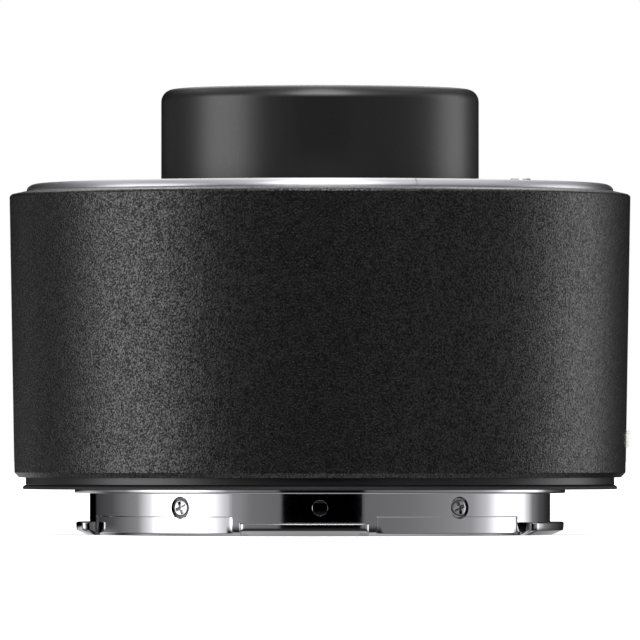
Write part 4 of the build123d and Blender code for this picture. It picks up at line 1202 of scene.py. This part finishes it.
class LockPin(ConverterOperator):
    """Makes the lock pin and the spring under it"""
    bl_idname = "converter.lock_pin"
    bl_label = "Lock Pin"

    def make(self, scene):
        size = scene.converter_ring
        low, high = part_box("lock_pin")
        shoulder_drop, stem, collar = mm(7.93, 0.66, 1.46)
        shoulder = size.foot - shoulder_drop
        outline = rounded([
            (0.0, low.z), (stem, low.z, 0.1 * MM), (stem, shoulder), (collar, shoulder, 0.1 * MM),
            (collar, size.foot, 0.08 * MM), (size.pin_radius, size.foot),
            (size.pin_radius, high.z, 0.28 * MM), (0.0, high.z),
        ], 5)
        pin = turned("sprung_lock_pin", outline, 64, place(LOCK_ANGLE, size.pin_circle))
        dress(pin, "lock_pin", "pin_steel", "lock_pin")
        foot, mean, wire, travel = mm(17.0, 0.99, 0.132, 1.89)
        spring = coil("lock_pin_coil", "spring_steel", mean, wire, shoulder - foot, 9, foot)
        spring.data.transform(place(LOCK_ANGLE, size.pin_circle))
        dress(spring, "body", "spring_steel", "lock_pin_spring")
        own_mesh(spring)


def knob_columns(start, end, outer, corner):
    """Angles along the release knob with its face's radius at each: round ends, eight grooves."""
    groove, groove_step, grooves_each_side, steps = 0.33 * MM, 2.0, 4, 240
    shifts = [groove_step * (index + 1) for index in range(grooves_each_side)]
    grooves = [start + shift for shift in shifts] + [end - shift for shift in shifts]
    arc = math.degrees(corner / outer)
    ends = {}
    for sine, cosine in quarter(5):
        shift = arc * (1 - cosine)
        ends[start + shift] = ends[end - shift] = outer - corner + corner * sine
    inner_start, inner_span = start + arc, end - start - 2 * arc
    angles = set(ends) | {inner_start + inner_span * index / steps for index in range(steps + 1)}
    columns = []
    for angle in sorted(angles):
        face = ends.get(angle, outer)
        for middle in grooves:
            offset = abs(math.radians(angle - middle)) * outer
            if offset < groove:
                face = min(face, outer - math.sqrt(groove ** 2 - offset ** 2))
        columns.append((angle, face))
    return columns


class ReleaseLever(ConverterOperator):
    """Makes the release lever, its ribbed knob and the knob's screws"""
    bl_idname = "converter.release_lever"
    bl_label = "Release Lever"

    def make(self, scene):
        dress_cad("release_lever", 0.06, "lever_steel", "release_lever")
        inner, outer, foot, top = mm(34.19, 35.98, 25.41, 30.6)
        corner, edge, sunk = mm(0.47, 0.1, 0.142)
        knob_start, knob_end = 123.8, 148.2
        loops = []
        for angle, face in knob_columns(knob_start, knob_end, outer, corner):
            outline = rounded([
                (inner, foot, edge), (face, foot, corner), (face, top, corner), (inner, top, edge),
            ])
            loops.append([at(angle, r, z) for r, z in outline])
        knob = skin("ribbed_release_knob", loops, wrap=False)
        height = 28.05 * MM
        carve(knob, *[
            countersink(*mm(0.87, 0.47, 0.49, 3.0), outwards(angle, outer - sunk, height))
            for angle in KNOB_SCREW_ANGLES
        ])
        first, last = KNOB_SCREW_ANGLES
        dress(knob, "release_lever", "satin_black", "release_knob")
        screw_group(
            "knob_screws", flat_screw(*KNOB_SCREW, "out"), "release_lever", "black_screw",
            outer - sunk, height, [(first, last - first, 2)], "release_knob_screws",
        )


class FrontContacts(ConverterOperator):
    """Makes the plate round the nose, the contact block, the sprung contacts and their springs"""
    bl_idname = "converter.front_contacts"
    bl_label = "Front Plate and Contacts"

    def make(self, scene):
        contacts = scene.converter_contacts
        dress_cad("front_plate", 0.06, "baffle_black")
        dress_cad("front_contact_block", 0.05, "baffle_black")
        plate_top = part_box("front_plate")[1].z
        outer_circle, inner_circle = mm(25.5, 21.16)
        groups = [
            laid_round(name, flat_screw(*PLATE_SCREW), "black_screw", circle, plate_top, [run])
            for name, circle, run in (
                ("plate_screws_outer", outer_circle, (45.0, 120.0, 3)),
                ("plate_screws_inner", inner_circle, (-33.0, 66.0, 2)),
            )
        ]
        screws = join("front_plate_screws_dressed", *groups)
        dress(screws, "body", "black_screw", "front_plate_screws")
        low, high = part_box("contact_pins")
        collar_foot, collar_top = mm(27.95, 28.52)
        stem, collar, tip = mm(0.24, 0.57, 0.38)
        outline = rounded([
            (0.0, low.z), (stem, low.z, 0.06 * MM), (stem, collar_foot), (collar, collar_foot),
            (collar, collar_top, 0.05 * MM), (tip, collar_top), (tip, high.z, 0.3 * MM),
            (0.0, high.z),
        ])
        run = [contact_run(contacts)]
        pin = turned("pin", outline, 32)
        pins = laid_round("sprung_gold_contacts", pin, "contact_gold", contacts.circle, 0.0, run)
        dress(pins, "contact_pins", "contact_gold", "contact_pins")
        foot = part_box("contact_springs")[0].z
        mean, wire, travel = mm(0.42, 0.066, 0.66)
        spring = coil("contact_coil", "spring_steel", mean, wire, collar_foot - foot, 5, foot)
        springs = laid_round("contact_coils", spring, "spring_steel", contacts.circle, 0.0, run)
        dress(springs, "body", "spring_steel", "contact_springs")
        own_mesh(springs)


class NoseBarrel(ConverterOperator):
    """Makes the satin nose tube, its hidden screws and the ring that holds its front glass"""
    bl_idname = "converter.nose_barrel"
    bl_label = "Nose Barrel"

    def make(self, scene):
        size = scene.converter_nose
        flange_top = size.foot + size.flange
        seat_bore, seat, bevel = mm(14.54, 23.8, 0.28)
        corners = [
            (seat_bore, size.foot),
            (size.flange_radius, size.foot, 0.1 * MM),
            (size.flange_radius, flange_top, 0.1 * MM),
            (size.radius, flange_top, 0.2 * MM),
            (size.radius, size.top, size.round_radius),
            (size.bore + bevel, size.top, 0.04 * MM),
            (size.bore, size.top - bevel),
        ]
        # Shallow grooves above the retaining ring keep stray light down.
        groove_depth, groove_half = mm(0.14, 0.09)
        for drop in mm(0.45, 0.81):
            height = size.top - drop
            corners += [
                (size.bore, height),
                (size.bore + groove_depth, height - groove_half),
                (size.bore, height - 2 * groove_half),
            ]
        corners += [(size.bore, seat), (seat_bore, seat)]
        nose = turned("satin_nose_barrel", rounded(corners, 8), 320)
        hole, deep = mm(0.81, 3.0)
        carve(nose, *[
            rod("screw_hole", hole, -OVERRUN, deep, place(angle, CELL_SCREW_CIRCLE, size.foot))
            for angle in run_angles(NOSE_SCREW_RUN)
        ])
        dress(nose, "body", "satin_black", "nose_barrel")
        screw_group(
            "nose_flange_screws", pan_screw(*CELL_SCREW), "body", "black_screw",
            CELL_SCREW_CIRCLE, flange_top, [NOSE_SCREW_RUN], "nose_screws",
        )
        dress_cad("front_retaining_ring", 0.07, "frame_metal")


def cap(reach, curve):
    """Height of a spherical cap over its rim."""
    return math.copysign(abs(curve) - math.sqrt(curve ** 2 - reach ** 2), curve)


def glass_outline(rim, clear, foot, top, foot_curve, top_curve):
    """The outline of a lens element with a flat land round each face."""
    steps = 24
    radii = [clear * step / steps for step in range(1, steps + 1)]
    lowest, highest = foot - cap(clear, foot_curve), top + cap(clear, top_curve)
    below = [(radius, lowest + cap(radius, foot_curve)) for radius in radii]
    above = [(radius, highest - cap(radius, top_curve)) for radius in reversed(radii)]
    return [(0.0, lowest)] + below + [(rim, foot), (rim, top)] + above + [(0.0, highest)]


class LensGlass(ConverterOperator):
    """Makes the outer lens elements of the nose and of the rear cell"""
    bl_idname = "converter.lens_glass"
    bl_label = "Lens Glass"

    def make(self, scene):
        for name, outline, node in (
            ("front_lens", mm(15.64, 14.54, 39.67, 41.46, -66.11, 85.0), "first_element"),
            ("rear_lens", mm(16.77, 15.39, 8.12, 10.96, 66.11, -377.78), "eighth_element"),
        ):
            dress(turned(name, glass_outline(*outline), 192), "body", "coated_glass", node)


class RearCell(ConverterOperator):
    """Makes the rear lens cell, its retaining ring and its screws"""
    bl_idname = "converter.rear_cell"
    bl_label = "Rear Cell"

    def make(self, scene):
        dress_cad("rear_cell", 0.08, "frame_metal")
        dress_cad("rear_retaining_ring", 0.07, "frame_metal")
        screw_group(
            "rear_cell_flange_screws", pan_screw(*CELL_SCREW, "down"), "body", "black_screw",
            CELL_SCREW_CIRCLE, 19.27 * MM, [(0.0, 120.0, 3)], "rear_cell_screws",
        )


class Electronics(ConverterOperator):
    """Makes the circuit board's screws, parts and sockets"""
    bl_idname = "converter.electronics"
    bl_label = "Electronics"

    def make(self, scene):
        dress_cad("board_parts", 0.08, "chip_black")
        dress_cad("board_connectors", 0.1, "socket_white")
        dress_cad("circuit_board", 0.04, "board_green")
        circle, height = mm(26.44, 9.26)
        screw_group(
            "board_screws_dressed", pan_screw(*BOARD_SCREW), "body", "black_screw",
            circle, height, [(-95.0, 95.0, 3)], "board_screws",
        )


class InnerParts(ConverterOperator):
    """Gives the CAD pieces that stay in view their finishes"""
    bl_idname = "converter.inner_parts"
    bl_label = "Inner Parts"

    def make(self, scene):
        slots = {part["node"]: part["material_slot"] for part in frame["record"]["subparts"]}
        for name, node in frame["nodes"].items():
            for slot in node.material_slots:
                slot.material = finish(slots[name])


def studio_world(world):
    """Soft strip lights left and right, a broad light overhead and a dark gap at the camera."""
    world.use_nodes = True
    tree = world.node_tree
    tree.nodes.clear()
    toward = add(tree, "ShaderNodeTexCoord").outputs["Generated"]
    parts = add(tree, "ShaderNodeSeparateXYZ", {0: toward}).outputs
    front = add(tree, "ShaderNodeMath", {0: parts["Y"], 1: -1.0}, operation="MULTIPLY").outputs[0]
    drop = add(tree, "ShaderNodeMath", {0: parts["Z"], 1: -1.0}, operation="MULTIPLY").outputs[0]
    turn = add(tree, "ShaderNodeMath", {0: parts["X"], 1: front}, operation="ARCTAN2").outputs[0]
    share = add(tree, "ShaderNodeMath", {
        0: turn, 1: 1 / (2 * math.pi), 2: 0.5,
    }, operation="MULTIPLY_ADD").outputs[0]

    def round_about(stops):
        return ramp(tree, share, [(0.5 + angle / FULL_TURN, value) for angle, value in stops])

    def both(first, second, operation="MULTIPLY"):
        inputs = {0: first, 1: second}
        return add(tree, "ShaderNodeVectorMath", inputs, operation=operation).outputs[0]

    def mixed(value, edge, first, second):
        factor = spread(tree, value, 0.0, 1.0, -edge, edge)
        inputs = {"Fac": factor, "Color1": first, "Color2": second}
        return add(tree, "ShaderNodeMixRGB", inputs).outputs[0]

    # The strips at the part's own height: a bright one on the left, a softer one on the right.
    level = round_about([
        (-180, 0.0), (-153, 0.0), (-150, 0.03), (-128, 0.06), (-104, 0.2), (-94, 0.7), (-86, 1.6),
        (-60, 1.6), (-53, 0.8), (-44, 0.22), (-34, 0.13), (-19.5, 0.11), (-18.5, 0.0), (20.5, 0.0),
        (21.5, 0.11), (45, 0.13), (66, 0.18), (82, 0.24), (92, 0.45), (100, 0.95), (112, 1.1),
        (122, 0.95), (133, 0.16), (143, 0.06), (157, 0.02), (180, 0.0),
    ])
    level = both(level, spread(tree, parts["Z"], 1.0, 0.0, 0.3, 0.52))
    level = both(level, spread(tree, parts["Z"], 0.0, 1.0, -0.35, -0.12))
    # The wall behind, by height on the left and on the right, and the roof in front of it.
    left = ramp(tree, parts["Z"], [
        (0.27, 0.0), (0.44, 0.06), (0.58, 0.3), (0.66, 0.48), (0.74, 0.38), (0.83, 0.34),
        (0.9, 0.45), (0.98, 0.6),
    ])
    right = ramp(tree, parts["Z"], [
        (0.27, 0.0), (0.36, 0.04), (0.47, 0.18), (0.58, 0.21), (0.66, 0.28), (0.76, 0.45),
        (0.84, 0.6), (0.98, 0.6),
    ])
    roof = round_about([
        (-180, 0.1), (-110, 0.25), (-80, 0.25), (-50, 0.3), (-28, 0.35), (-17, 1.9), (19, 1.9),
        (31, 0.6), (50, 0.35), (74, 0.25), (110, 0.22), (180, 0.1),
    ])
    roof = both(roof, spread(tree, parts["Z"], 0.0, 1.0, 0.44, 0.56))
    above = mixed(parts["Y"], 0.1, roof, mixed(parts["X"], 0.12, left, right))
    # A narrow light straight behind the part, for the flat front ring.
    behind = both(
        round_about([(-180, 1.0), (-172, 1.0), (-166, 0.0), (166, 0.0), (172, 1.0), (180, 1.0)]),
        ramp(tree, parts["Z"], [
            (0.15, 0.0), (0.3, 0.02), (0.36, 0.08), (0.39, 1.6), (0.62, 1.4), (0.7, 0.6),
            (0.95, 0.6),
        ]),
    )
    # A light over the camera, for the rounded edges that face it.
    brow = both(
        round_about([
            (-180, 0.0), (-62, 0.0), (-46, 0.2), (-24, 0.3), (-16, 1.7), (18, 1.7), (27, 0.4),
            (50, 0.3), (84, 0.2), (100, 0.0), (180, 0.0),
        ]),
        ramp(tree, parts["Z"], [(0.24, 0.0), (0.34, 0.5), (0.46, 1.0), (0.7, 1.0), (0.78, 0.3)]),
    )
    # What the chrome mirrors from below: a strip behind, just under the horizon, and the table.
    skirting = both(
        round_about([(-180, 1.0), (-140, 1.0), (-122, 0.0), (168, 0.0), (180, 1.0)]),
        ramp(tree, drop, [(0.02, 0.0), (0.07, 0.35), (0.3, 0.35), (0.45, 0.0)]),
    )
    table = ramp(tree, drop, [
        (0.08, 0.0), (0.5, 0.02), (0.57, 0.12), (0.65, 0.3), (0.69, 0.22), (0.74, 0.16),
        (1.0, 0.35),
    ])
    light = level
    for source in (above, behind, brow, skirting, table):
        light = both(light, source, "ADD")
    studio = add(tree, "ShaderNodeBackground", {"Color": light, "Strength": 1.6}).outputs[0]
    white = add(tree, "ShaderNodeBackground", {"Color": WHITE, "Strength": 1.0}).outputs[0]
    seen = add(tree, "ShaderNodeLightPath").outputs["Is Camera Ray"]
    shown = add(tree, "ShaderNodeMixShader", {0: seen, 1: studio, 2: white}).outputs[0]
    add(tree, "ShaderNodeOutputWorld", {"Surface": shown})


class StudioStage(ConverterOperator):
    """Makes the pale floor, the studio light and the camera at the photograph's angle"""
    bl_idname = "converter.studio_stage"
    bl_label = "Studio Stage"

    def make(self, scene):
        floor_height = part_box("rear_bayonet")[0].z
        build = bmesh.new()
        bmesh.ops.create_grid(build, x_segments=1, y_segments=1, size=6.0)
        floor = linked("studio_floor", build)
        floor.data.transform(Matrix.Translation((0.0, 0.0, floor_height)))
        base = colours().floor
        material, tree, shader, where = start("studio_board_white", base, 0.9, constants={
            "Specular IOR Level": 0.0, "Emission Color": WHITE, "Emission Strength": 0.7,
        })
        tint(tree, shader, noise(tree, where, 0.3, 2.0), times(base, 0.985), base)
        floor.data.materials.append(material)
        floor.visible_glossy = False
        scene.world = bpy.data.worlds.new("studio")
        studio_world(scene.world)
        # A long lens far off, a little above the rear seat and aimed at the part's middle.
        away, eye_height, aim_height = 1.2477, 0.00505, 0.01895
        camera = bpy.data.cameras.new("photo_camera")
        camera.sensor_width = 36.0
        camera.lens = 641.0
        camera.clip_start = 0.05
        camera.clip_end = 20.0
        view = bpy.data.objects.new("photo_camera", camera)
        scene.collection.objects.link(view)
        view.location = (0.0, -away, eye_height)
        aim = Vector((0.0, away, aim_height - eye_height))
        view.rotation_euler = aim.to_track_quat("-Z", "Y").to_euler()
        scene.camera = view
        scene.view_settings.view_transform = "Standard"


OPERATORS = (
    OuterBarrel, IndexBead, RearCover, RearBayonet, BayonetScrews, RearBaffle, MountRing,
    ClawSprings, LockPin, ReleaseLever, FrontContacts, NoseBarrel, LensGlass, RearCell,
    Electronics, InnerParts, StudioStage,
)
GROUPS = {
    "converter_barrel": BarrelSizes,
    "converter_bayonet": BayonetSizes,
    "converter_ring": MountRingSizes,
    "converter_nose": NoseSizes,
    "converter_contacts": ContactSizes,
    "converter_colours": FinishColours,
}


class ConverterPanel(bpy.types.Panel):
    """Lists the sizes, the colours and the pieces of the teleconverter"""
    bl_idname = "VIEW3D_PT_converter"
    bl_label = "Camera Teleconverter"
    bl_space_type = "VIEW_3D"
    bl_region_type = "UI"
    bl_category = "Converter"

    def draw(self, context):
        for name, group in GROUPS.items():
            box = self.layout.box()
            for prop in group.__annotations__:
                box.prop(getattr(context.scene, name), prop)
        for operator in OPERATORS:
            self.layout.operator(operator.bl_idname)


def register():
    for name, group in GROUPS.items():
        bpy.utils.register_class(group)
        setattr(bpy.types.Scene, name, PointerProperty(type=group))
    for operator in OPERATORS:
        bpy.utils.register_class(operator)
    bpy.utils.register_class(ConverterPanel)


def unregister():
    bpy.utils.unregister_class(ConverterPanel)
    for operator in reversed(OPERATORS):
        bpy.utils.unregister_class(operator)
    for name, group in GROUPS.items():
        delattr(bpy.types.Scene, name)
        bpy.utils.unregister_class(group)


def main():
    register()
    for operator in OPERATORS:
        getattr(bpy.ops.converter, operator.bl_idname.split(".")[1])()


if __name__ == "__main__":
    main()
